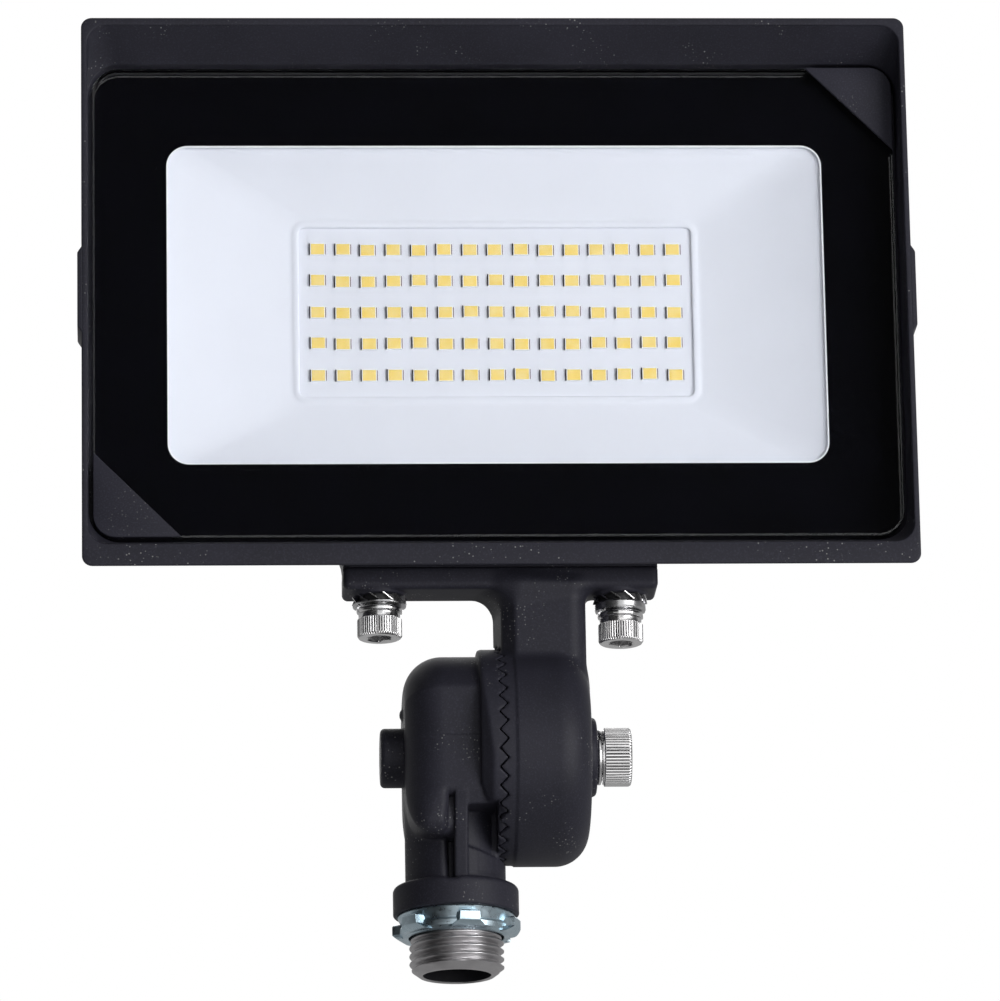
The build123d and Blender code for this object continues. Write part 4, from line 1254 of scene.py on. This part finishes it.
    def build(self, rings: Repeat) -> None:
        """Build both bracket screws, the pivot bolt and all their washers.

        Args:
            rings: The tree that turns copies round an axis.
        """
        screws = Shape()
        shade_bands = Shape()
        splits = Shape()
        m6 = (4.98, 4.72, 1.1, 5.45, 5.0, 2.6, 2.95)
        for x, tall in zip(self.screw_x, self.tooth_height):
            washer_low = self.seat_z - tall
            head_z = washer_low - self.split_height
            self.screw(screws, Turned.UP, (x, FLANGE_Y, head_z), -1, m6, 54)
            # Dark band under the knurls: painted shade in the grooves.
            self.knurl_shade_band(shade_bands, Turned.UP, (x, FLANGE_Y, head_z), -1, m6)
            ring = self.split_ring(
                Turned.UP, (x, FLANGE_Y, head_z + 0.02), (5.12, 3.1, self.split_height - 0.04), radians(-160)
            )
            splits.add(np.concatenate(ring.points), ring.faces)
            flat = Shape()
            thick = tall - self.teeth_zone
            wide = 5.97 if thick < 1 else 5.68
            edge = min(0.45, thick * 0.4)
            profile = [
                (3.35, washer_low),
                (wide - edge, washer_low),
                (wide - edge * 0.3, washer_low + edge * 0.3),
                (wide, washer_low + edge),
                (wide, washer_low + thick - edge),
                (wide - edge * 0.3, washer_low + thick - edge * 0.3),
                (wide - edge, washer_low + thick),
                (3.35, washer_low + thick),
            ]
            flat.loft(revolved(profile, Turned.UP, (x, FLANGE_Y, 0), 64), looped=True)
            side = "left" if x < 0 else "right"
            # Dark sleeve behind the washer teeth: painted shade in the gaps between them.
            core = Shape()
            wall = [(3.35, washer_low + thick), (4.6, washer_low + thick), (4.6, self.seat_z - 0.05), (3.35, self.seat_z - 0.05)]
            core.loft(revolved(wall, Turned.UP, (x, FLANGE_Y, 0), 48), looped=True)
            self.seat(core.piece(f"{side}_washer_gap_shade", DRIVER_PART_AND_GAP_SHADE), Body.HEAD, "bright_steel", "bracket_tooth_washers")
            disc = flat.piece(f"{side}_tooth_washer_disc", DARK_STEEL)
            self.seat(disc, Body.HEAD, "bright_steel", "bracket_tooth_washers")
            teeth = self.tooth().piece(f"{side}_washer_teeth", STEEL)
            rings.apply(
                teeth,
                STEEL,
                Count=self.tooth_count,
                Centre=(x * MM, FLANGE_Y * MM, (self.seat_z - self.teeth_zone / 2) * MM),
                Start_Turn=radians(-103),
                Weld_Distance=0.0,
            )
            self.seat(teeth, Body.HEAD, "bright_steel", "bracket_tooth_washers")
        self.seat(screws.piece("knurled_bracket_screws", STEEL, 20), Body.HEAD, "bright_steel", "bracket_screws")
        # The screws' dark groove bands: painted shade between the knurls.
        self.seat(shade_bands.piece("bracket_screw_groove_shade", GROOVE_SHADE_AND_BORE_DARK), Body.HEAD, "bright_steel", "bracket_screws")
        self.seat(splits.piece("split_washers", STEEL, 50), Body.HEAD, "bright_steel", "bracket_spring_washers")
        bolt = Shape()
        m8 = (6.52, 6.1, 0.35, 6.4, 6.0, 3.6, 3.95)
        self.screw(bolt, Turned.RIGHT, (32.93, 0, PIVOT_Z), 1, m8, 56)
        self.seat(bolt.piece("knurled_pivot_bolt", STEEL, 20), Body.PIVOT_BOLT, "bright_steel", "pivot_bolt")
        # Dark band under the bolt's knurls: painted shade in the grooves.
        band = Shape()
        self.knurl_shade_band(band, Turned.RIGHT, (32.93, 0, PIVOT_Z), 1, m8)
        self.seat(band.piece("pivot_bolt_groove_shade", GROOVE_SHADE_AND_BORE_DARK), Body.PIVOT_BOLT, "bright_steel", "pivot_bolt")
        ring = self.split_ring(Turned.RIGHT, (31.7, 0, PIVOT_Z), (6.2, 4.25, 1.2), radians(150))
        washer = ring.piece("pivot_split_washer", STEEL, 50)
        self.seat(washer, Body.PIVOT_BOLT, "bright_steel", "pivot_spring_washer")


@dataclass
class HousingShell(SubAssembly):
    """Die-cast lamp housing with its rim, pads and fins."""

    half_width: float = 92.5
    half_height: float = 63.6
    rim_depth: float = 15.0
    fin_depth: float = 46.0
    body_depth: float = 31.0
    fin_count: int = 14
    fin_pitch: float = 10.4
    fin_thickness: float = 2.6

    def shell_rings(self) -> list[Array]:
        """Rings of the housing from the cavity's floor, over the rim, to its back."""
        rows = [
            (28.0, 82.4, -47.4, 46.6, 4.8, 13.0),
            (27.7, 83.2, -48.2, 47.4, 5.6, 13.5),
            (27.0, 83.55, -48.6, 47.8, 6.0, 13.67),
            (13.3, 83.55, -48.6, 47.8, 6.0, 13.67),
            (13.0, 83.85, -48.9, 48.1, 6.2, 13.8),
            (13.0, 91.05, -56.1, 55.3, 7.0, 0.0),
            (8.3, 91.05, -56.1, 55.3, 7.0, 0.0),
            (8.0, 91.08, -56.2, 55.45, 6.9, 0.0),
            (0.40, 91.18, -58.55, 61.75, 4.4, 0.0),
            (0.16, 91.26, -58.62, 61.82, 4.4, 0.0),
            (0.03, 91.42, -58.78, 61.98, 4.4, 0.0),
            (0.0, 91.60, -58.95, 62.15, 4.3, 0.0),
            (0.0, 92.05, -63.15, 63.15, 1.9, 0.0),
            (0.04, 92.26, -63.36, 63.36, 2.1, 0.0),
            (0.16, 92.42, -63.52, 63.52, 2.25, 0.0),
            (0.45, 92.5, -63.6, 63.6, 2.3, 0.0),
            (14.5, 92.31, -59.46, 59.46, 2.4, 0.0),
            (14.85, 92.2, -59.3, 59.3, 2.3, 0.0),
            (15.0, 91.95, -59.0, 59.0, 2.1, 0.0),
            (15.0, 91.4, -58.4, 58.4, 5.0, 0.0),
            (15.25, 91.1, -58.1, 58.1, 6.0, 0.0),
            (30.0, 84.75, -54.85, 54.85, 11.6, 0.0),
            (30.7, 84.3, -54.4, 54.4, 12.0, 0.0),
            (31.0, 83.4, -53.5, 53.5, 11.6, 0.0),
        ]
        return [facing(rounded_outline(hx, lo, hi, r, cut, 10), d) for d, hx, lo, hi, r, cut in rows]

    def side_pads(self, shape: Shape) -> None:
        """Add the low pad on each side wall, flush with the rim's front."""
        for side in (-1, 1):
            rings = []
            for out, half, near, far, r in (
                (91.6, 10.3, 0.35, 13.2, 0.3),
                (92.45, 10.0, 0.05, 13.1, 0.4),
                (93.2, 8.95, 0.10, 12.9, 0.5),
                (93.42, 8.6, 0.35, 12.6, 0.5),
            ):
                outline = rounded_outline(half, near, far, r, steps=3)
                rings.append(np.array([(HEAD_X + side * out, RIM_Y + d, HEAD_Z + a) for a, d in outline]))
            shape.loft(rings)

    def mount_pad(self, shape: Shape) -> None:
        """Add the pad under the rim that the bracket's flange bears on."""
        rings = []
        for z, out, r in ((91.2, 1.6, 2.6), (89.6, 0.8, 2.2), (88.0, 0.2, 1.7), (86.6, 0.0, 1.5), (85.6, 0.0, 1.5), (85.52, -0.1, 1.4)):
            outline = rounded_outline(34.85 + max(0.0, out), -14.3 - out * 0.2, -1.1 + out * 0.2, r, steps=5)
            rings.append(level(outline, z, HEAD_X))
        shape.loft(rings)

    def fin(self) -> Shape:
        """One inner fin about X = 0, thinner towards its edge."""
        shape = Shape()
        half_low, half_high = 54.1, 42.3
        outline = [(30.4, -half_low), (30.4, half_low)]
        slope = (half_low - half_high) / (self.fin_depth - self.body_depth)
        for k in range(7):
            turn = k / 6 * pi / 2
            depth = self.fin_depth - 3.0 + 3.0 * sin(turn)
            outline.append((depth, half_high + slope * (self.fin_depth - depth) - 3.0 * (1 - cos(turn)) * 0.8))
        for k in range(7):
            turn = (1 - k / 6) * pi / 2
            depth = self.fin_depth - 3.0 + 3.0 * sin(turn)
            outline.append((depth, -half_high - slope * (self.fin_depth - depth) + 3.0 * (1 - cos(turn)) * 0.8))
        centre = np.mean(outline, axis=0)
        rings = []
        for side, inset in ((-1.0, 0.55), (-0.86, 0.16), (-0.62, 0.0), (0.62, 0.0), (0.86, 0.16), (1.0, 0.55)):
            ring = []
            for depth, z in outline:
                away = np.array([depth, z]) - centre
                pull = np.array([np.sign(away[0]) * (depth > 31), np.sign(away[1])]) * inset
                thick = self.fin_thickness / 2 * (1.12 - 0.27 * (depth - 31) / 15)
                ring.append((side * thick, RIM_Y + depth - pull[0], HEAD_Z + z - pull[1]))
            rings.append(np.array(ring))
        shape.loft(rings)
        return shape

    def end_fins(self, shape: Shape) -> None:
        """Add the thick fin at each end, which follows the body's round corners."""
        for side in (-1, 1):
            rings = []
            for depth, inset in ((30.3, 0.0), (31.5, 0.0), (36.0, 0.0), (41.0, 0.0), (45.4, 0.0), (45.8, 0.15), (46.0, 0.45)):
                share = (depth - 31) / 15
                half_x = 84.3 - 6.0 * share - inset
                half_z = 54.6 - 12.0 * share - inset
                inner = 76.7 + 0.25 * share + inset * 0.7
                start = acos(min(1.0, (inner - (half_x - 12)) / 12))
                arc = [start * (1 - k / 8) for k in range(9)]
                top = [(half_x - 12 + 12 * cos(t), half_z - 12 + 12 * sin(t)) for t in arc]
                outline = top + [(x, -z) for x, z in reversed(top)]
                rings.append(np.array([(HEAD_X + side * x, RIM_Y + depth, HEAD_Z + z) for x, z in outline]))
            shape.loft(rings)

    def build(self, rows: Repeat) -> None:
        """Build the shell and its fins.

        Args:
            rows: The tree that sets copies in a row.
        """
        shape = Shape()
        shape.loft(self.shell_rings())
        self.side_pads(shape)
        self.mount_pad(shape)
        self.end_fins(shape)
        shell = shape.piece("cast_housing", POWDER)
        self.seat(shell, Body.HEAD, "black_powder_coat", "housing")
        fins = self.fin().piece("cooling_fins", POWDER)
        fins.data.transform(Matrix.Translation((HEAD_X * MM, 0, 0)))
        rows.apply(fins, POWDER, Count=self.fin_count, Pitch=self.fin_pitch * MM)
        self.seat(fins, Body.HEAD, "black_powder_coat", "housing")


@dataclass
class FrontWindow(SubAssembly):
    """Glass with its printed border, and the plates over its two cut corners."""

    half_x: float = 90.05
    half_z: float = 54.7
    corner_r: float = 6.0
    cut: float = 17.48
    drop: float = -0.4
    window_x: float = 73.75
    window_z: float = 37.2
    window_r: float = 4.8
    window_shift: float = 0.25
    plate_leg: float = 19.6

    def glass_outline(self, inset: float) -> Outline:
        """The glass's outline, moved inwards."""
        cut = self.cut - 0.586 * inset
        half_x, half_z = self.half_x - inset, self.half_z - inset
        return rounded_outline(half_x, -half_z, half_z, self.corner_r - inset, cut, 12)

    def plate(self, corner: int) -> Shape:
        """Corner plate: a lip over the glass's cut edge on a block beside it.

        Args:
            corner: 1 for the upper right, -1 for the lower left.

        Returns:
            The plate's shape.
        """
        shape = Shape()
        rings = []
        rows = ((7.42, 0.30, 0.0), (7.50, 0.10, 0.0), (7.66, 0.0, 0.0), (7.98, 0.0, 0.0), (7.99, 0.0, 2.12), (12.9, 0.0, 2.12))
        for depth, inset, less in rows:
            leg = self.plate_leg - less - inset * 3.41
            x, z, r = self.half_x - inset, self.half_z - inset, 5.0
            ring = [(x, z - leg)]
            ring += [(x - r + r * cos(t), z - r + r * sin(t)) for t in (k / 10 * pi / 2 for k in range(11))]
            ring.append((x - leg, z))
            rings.append(facing([(corner * a, corner * b) for a, b in ring], depth, 0, self.drop))
        shape.loft(rings)
        return shape

    def build(self) -> None:
        """Build the glass, its border and the two plates."""
        pane = Shape()
        rows = ((8.0, 0.45), (8.12, 0.15), (8.4, 0.0), (11.5, 0.0), (11.8, 0.15), (11.9, 0.4))
        pane.loft([facing(self.glass_outline(inset), depth, 0, self.drop) for depth, inset in rows])
        self.seat(pane.piece("front_glass", GLASS), Body.HEAD, "lens_glass", "glass_lens")
        border = Shape()
        outer = self.glass_outline(0.05)
        inner = rounded_outline(self.window_x, -self.window_z, self.window_z, self.window_r, 0.0, 12)
        inner = [(a + self.window_shift, b) for a, b in inner]
        loops = ((outer, 11.93), (inner, 11.93), (inner, 11.98), (outer, 11.98))
        border.loft([facing(outline, depth, 0, self.drop) for outline, depth in loops], looped=True)
        self.seat(border.piece("printed_border", FRIT), Body.HEAD, "lens_glass", "glass_lens")
        # Thin near-white ring behind the border's inner edge: a painted highlight along the window's edge.
        edge = Shape()
        rows = ((12.0, -0.5), (12.0, 0.33), (12.06, 0.38), (12.25, 0.38), (12.25, -0.5))
        loops = []
        for depth, inset in rows:
            half_x, half_z = self.window_x - inset, self.window_z - inset
            outline = rounded_outline(half_x, -half_z, half_z, self.window_r - inset, 0.0, 12)
            loops.append(facing(outline, depth, self.window_shift, self.drop))
        edge.loft(loops, looped=True)
        self.seat(edge.piece("painted_highlight_window_edge", PAINTED_EDGE_HIGHLIGHT), Body.HEAD, "white_reflector", "reflector_tray")
        for corner, node in ((1, "corner_plate_upper"), (-1, "corner_plate_lower")):
            made = self.plate(corner).piece(f"{node}_cover", PLATE, 25)
            self.seat(made, Body.HEAD, "corner_plastic", node)


@dataclass
class LightEngine(SubAssembly):
    """White tray and the grid of LEDs behind the glass."""

    centre_x: float = 0.32
    centre_z: float = -0.54
    open_x: float = 44.2
    open_z: float = 19.8
    open_r: float = 3.4
    columns: int = 15
    rows: int = 5
    pitch_x: float = 5.72
    pitch_z: float = 7.35
    seed: int = 11

    def tray_rings(self) -> list[Array]:
        """Rings of the tray's section: flange, slope, round lip, opening and back."""
        rows = (
            (12.30, 76.7, 40.1, 5.0, 0.0),
            (12.30, 75.4, 38.8, 4.8, 0.0),
            (12.50, 75.0, 38.4, 4.6, 0.0),
            (17.62, 46.6, 22.2, 4.0, 1.0),
            (17.68, 45.9, 21.5, 3.2, 1.0),
            (17.62, 45.6, 21.2, 2.9, 1.0),
            (17.55, 45.35, 20.95, 2.65, 1.0),
            (17.51, 45.05, 20.65, 2.35, 1.0),
            (17.50, 44.8, 20.4, 2.1, 1.0),
            (17.53, 44.5, 20.1, 1.8, 1.0),
            (17.62, 44.28, 19.88, 1.6, 1.0),
            (17.78, 44.2, 19.8, 1.5, 1.0),
            (18.15, 44.2, 19.8, 1.5, 1.0),
            (18.15, 45.9, 21.5, 3.2, 1.0),
            (13.4, 75.6, 39.0, 5.0, 0.0),
            (13.3, 76.7, 40.1, 5.0, 0.0),
        )
        rings = []
        for depth, half_x, half_z, r, share in rows:
            shift_x = 0.25 + (self.centre_x - 0.25) * share
            shift_z = -0.4 + (self.centre_z + 0.4) * share
            outline = rounded_outline(half_x, -half_z, half_z, r, 0.0, 12)
            rings.append(facing(outline, depth, shift_x, shift_z))
        return rings

    def block(self, x: tuple[float, float], z: tuple[float, float], depth: tuple[float, float], edge: float) -> Shape:
        """A small block with its front edges broken, about the grid's middle.

        Args:
            x: Its left and right side.
            z: Its lower and upper side.
            depth: Its front and its back.
            edge: How far the front edges are broken.

        Returns:
            The block's shape.
        """
        shape = Shape()
        rings = []
        for place, inset in ((depth[0], edge), (depth[0] + edge, 0.0), (depth[1], 0.0)):
            corners = [
                (x[1] - inset, z[1] - inset),
                (x[0] + inset, z[1] - inset),
                (x[0] + inset, z[0] + inset),
                (x[1] - inset, z[0] + inset),
            ]
            rings.append(facing(corners, place, self.centre_x, self.centre_z))
        shape.loft(rings)
        return shape

    def build(self, grid: Repeat) -> None:
        """Build the tray and the LEDs.

        Args:
            grid: The tree that sets copies on a grid.
        """
        tray = Shape()
        tray.loft(self.tray_rings(), looped=True)
        self.seat(tray.piece("sloped_tray", TRAY, 60), Body.HEAD, "white_reflector", "reflector_tray")
        parts = (
            ("led_packages", PACKAGE, (-1.75, 1.75), (-1.4, 1.4), (17.8, 18.2), 0.06),
            ("led_gel", GEL, (-1.46, 1.5), (-1.24, 1.24), (17.74, 17.9), 0.05),
            # Dark strip over each package's left edge: part lead, part painted shadow of the gap.
            ("led_lead_and_gap_shade", LED_LEAD_AND_GAP_SHADE, (-1.90, -1.66), (-1.34, 1.34), (17.76, 18.15), 0.02),
            ("led_legs", ANODE, (1.70, 1.86), (-1.15, 1.15), (17.76, 18.15), 0.02),
        )
        for name, finish, x, z, depth, edge in parts:
            one = self.block(x, z, depth, edge).piece(name, finish)
            grid.apply(
                one,
                finish,
                Columns=self.columns,
                Rows=self.rows,
                Pitch_Across=self.pitch_x * MM,
                Pitch_Up=self.pitch_z * MM,
                Shake=(0.10 * MM, 0.0, 0.24 * MM),
                Seed=self.seed,
            )
            self.seat(one, Body.HEAD, "led_yellow", "led_chips")


@dataclass
class InnerParts:
    """CAD nodes that stay as they are and only get their finish."""

    def dress(self) -> None:
        """Give each kept node its material."""
        finishes = {
            "lens_gasket": RUBBER,
            "bracket_gasket": RUBBER,
            "knuckle_seal": RUBBER,
            "thermal_pad": PAD,
            "led_board": BOARD,
            "board_screws": STEEL,
            "driver_board": MASK,
            "driver_parts": DRIVER_PART_AND_GAP_SHADE,
            "driver_screws": STEEL,
        }
        for node, finish in finishes.items():
            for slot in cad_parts[node].material_slots:
                slot.material = finish.material()
            LOG.info("%s dressed", node)


@dataclass
class Studio:
    """Camera, lamps, world and floor."""

    camera_mm: tuple[float, float, float] = (-73.96, -1559.70, -331.21)
    pitch: float = radians(15.59)
    swing: float = radians(3.13)
    roll: float = radians(-1.03)
    lens: float = 260.7
    ambient: float = 0.16
    panels: float = 1.32
    floor_z: float = -0.75

    def camera(self) -> None:
        """Set the camera where the photograph was taken from."""
        ahead = Vector((sin(self.swing) * cos(self.pitch), cos(self.swing) * cos(self.pitch), sin(self.pitch)))
        right = Vector((cos(self.swing), -sin(self.swing), 0))
        up = right.cross(ahead)
        across = cos(self.roll) * right + sin(self.roll) * up
        upward = -sin(self.roll) * right + cos(self.roll) * up
        data = bpy.data.cameras.new("photo_camera")
        data.sensor_fit = "HORIZONTAL"
        data.sensor_width = 36
        data.lens = self.lens
        made = bpy.data.objects.new("photo_camera", data)
        bpy.context.scene.collection.objects.link(made)
        turn = Matrix((across, upward, -ahead)).transposed()
        made.matrix_world = Matrix.Translation(Vector(self.camera_mm) * MM) @ turn.to_4x4()
        bpy.context.scene.camera = made

    def lamp(self, name: str, place: tuple[float, float, float], size: float, power: float) -> None:
        """Hang a square soft lamp that looks at the object.

        Args:
            name: The lamp's name.
            place: Where it hangs, in metres.
            size: Its side in metres.
            power: Its power in watts.
        """
        data = bpy.data.lights.new(name, "AREA")
        data.shape = "SQUARE"
        data.size = size
        data.energy = power
        made = bpy.data.objects.new(name, data)
        bpy.context.scene.collection.objects.link(made)
        target = Vector((HEAD_X, 0, 100)) * MM
        made.location = place
        made.rotation_euler = (target - Vector(place)).to_track_quat("-Z", "Y").to_euler()

    def step(self, sheet: NodeSheet, value: Link, low: float, high: float, start: float, end: float) -> Link:
        """Ramp from low to high while a value goes from start to end."""
        return sheet.add("ShaderNodeMapRange", {0: value, 1: start, 2: end, 3: low, 4: high}).outputs[0]

    def product(self, sheet: NodeSheet, *factors: Link) -> Link:
        """All the factors multiplied."""
        total = factors[0]
        for factor in factors[1:]:
            total = sheet.math("MULTIPLY", total, factor)
        return total

    def world(self) -> None:
        """White background, soft even light, and mirrored panels with a gap where the glass looks."""
        made = bpy.data.worlds.new("studio_world")
        made.use_nodes = True
        bpy.context.scene.world = made
        sheet = NodeSheet(made.node_tree)
        made.node_tree.nodes.clear()
        ray = sheet.add("ShaderNodeLightPath")
        way = sheet.add("ShaderNodeTexCoord").outputs["Generated"]
        x, y, z = sheet.add("ShaderNodeSeparateXYZ", {0: way}).outputs
        front = self.step(sheet, y, self.panels, 0.0, -0.15, 0.25)
        bright = self.product(
            sheet,
            self.step(sheet, x, 0.02, 0.95, -0.26, -0.10),
            self.step(sheet, x, 1.0, 0.20, 0.34, 0.54),
            self.step(sheet, z, 0.26, 1.0, -0.7, -0.4),
            self.step(sheet, z, 1.0, 0.22, 0.55, 0.8),
        )
        gap = self.product(
            sheet,
            self.step(sheet, x, 0.0, 1.0, -0.12, -0.05),
            self.step(sheet, x, 1.0, 0.0, 0.16, 0.22),
            self.step(sheet, z, 0.0, 1.0, 0.234, 0.25),
            self.step(sheet, z, 1.0, 0.0, 0.345, 0.365),
        )
        open_gap = self.step(sheet, gap, 1.0, 0.012, 0.0, 1.0)
        backdrop = sheet.math("MULTIPLY", self.product(sheet, bright, open_gap), front)
        behind = sheet.math("MULTIPLY", sheet.math("SUBTRACT", self.panels, front), 0.28)
        backdrop = sheet.math("ADD", backdrop, behind)
        mirrored = sheet.math("MAXIMUM", ray.outputs["Is Glossy Ray"], ray.outputs["Is Transmission Ray"])
        soft = sheet.math("MULTIPLY", sheet.math("SUBTRACT", 1.0, mirrored), self.ambient)
        other = sheet.math("ADD", sheet.math("MULTIPLY", mirrored, backdrop), soft)
        seen = ray.outputs["Is Camera Ray"]
        unseen = sheet.math("MULTIPLY", sheet.math("SUBTRACT", 1.0, seen), other)
        strength = sheet.math("ADD", seen, unseen)
        shine = sheet.add("ShaderNodeBackground", {"Color": (1, 1, 1, 1), "Strength": strength})
        end = sheet.add("ShaderNodeOutputWorld")
        made.node_tree.links.new(shine.outputs[0], end.inputs["Surface"])

    def floor(self) -> None:
        """Lay the pale floor, which is clear seen from below."""
        half = 4000.0
        corners = np.array([(-half, -half, 0), (half, -half, 0), (half, half, 0), (-half, half, 0)])
        corners[:, 2] = self.floor_z / MM
        mesh = bpy.data.meshes.new("studio_floor")
        mesh.from_pydata((corners * MM).tolist(), [], [(0, 1, 2, 3)])
        made = bpy.data.objects.new("studio_floor", mesh)
        bpy.context.scene.collection.objects.link(made)
        material = bpy.data.materials.new("pale_floor_finish")
        material.use_nodes = True
        sheet = SurfaceSheet(material)
        grain = sheet.noise(6, 2)
        ray = sheet.add("ShaderNodeLightPath")
        cover = sheet.shade(
            Base_Color=sheet.tint(sheet.spread(grain, 0, 1), (0.86, 0.86, 0.86), (0.89, 0.89, 0.89)),
            Roughness=0.9,
            Specular_IOR_Level=0.0,
            Emission_Color=(1, 1, 1, 1),
            Emission_Strength=sheet.math("MULTIPLY", ray.outputs["Is Camera Ray"], 0.45),
        )
        clear = sheet.add("ShaderNodeBsdfTransparent")
        back = sheet.add("ShaderNodeNewGeometry").outputs["Backfacing"]
        unseen = sheet.math("MAXIMUM", back, ray.outputs["Is Glossy Ray"])
        mix = sheet.add("ShaderNodeMixShader", {0: unseen, 1: cover.outputs[0], 2: clear.outputs[0]})
        sheet.tree.links.new(mix.outputs[0], sheet.output.inputs["Surface"])
        mesh.materials.append(material)

    def build(self) -> None:
        """Set up the whole studio."""
        self.camera()
        self.world()
        self.floor()
        self.lamp("right_key_lamp", (1.08, -1.19, 0.02), 1.0, 16.5)
        self.lamp("left_fill_lamp", (-0.56, -1.52, -0.20), 1.0, 0.9)
        self.lamp("back_fill_lamp", (0.10, 1.50, 0.85), 1.2, 6.5)
        view = bpy.context.scene.view_settings
        view.view_transform = "Standard"


def main() -> None:
    """Build the sub-assemblies in order and report each piece."""
    logging.basicConfig(level=logging.INFO, format="%(message)s")
    Studio().build()
    rings, rows, grid = ring_repeat(), row_repeat(), grid_repeat()
    teeth = Serration()
    Arm(teeth).build()
    Nipple().build()
    LockNut().build(rings)
    Bracket(teeth).build()
    SocketScrews().build(rings)
    HousingShell().build(rows)
    FrontWindow().build()
    LightEngine().build(grid)
    InnerParts().dress()


if __name__ == "__main__":
    main()
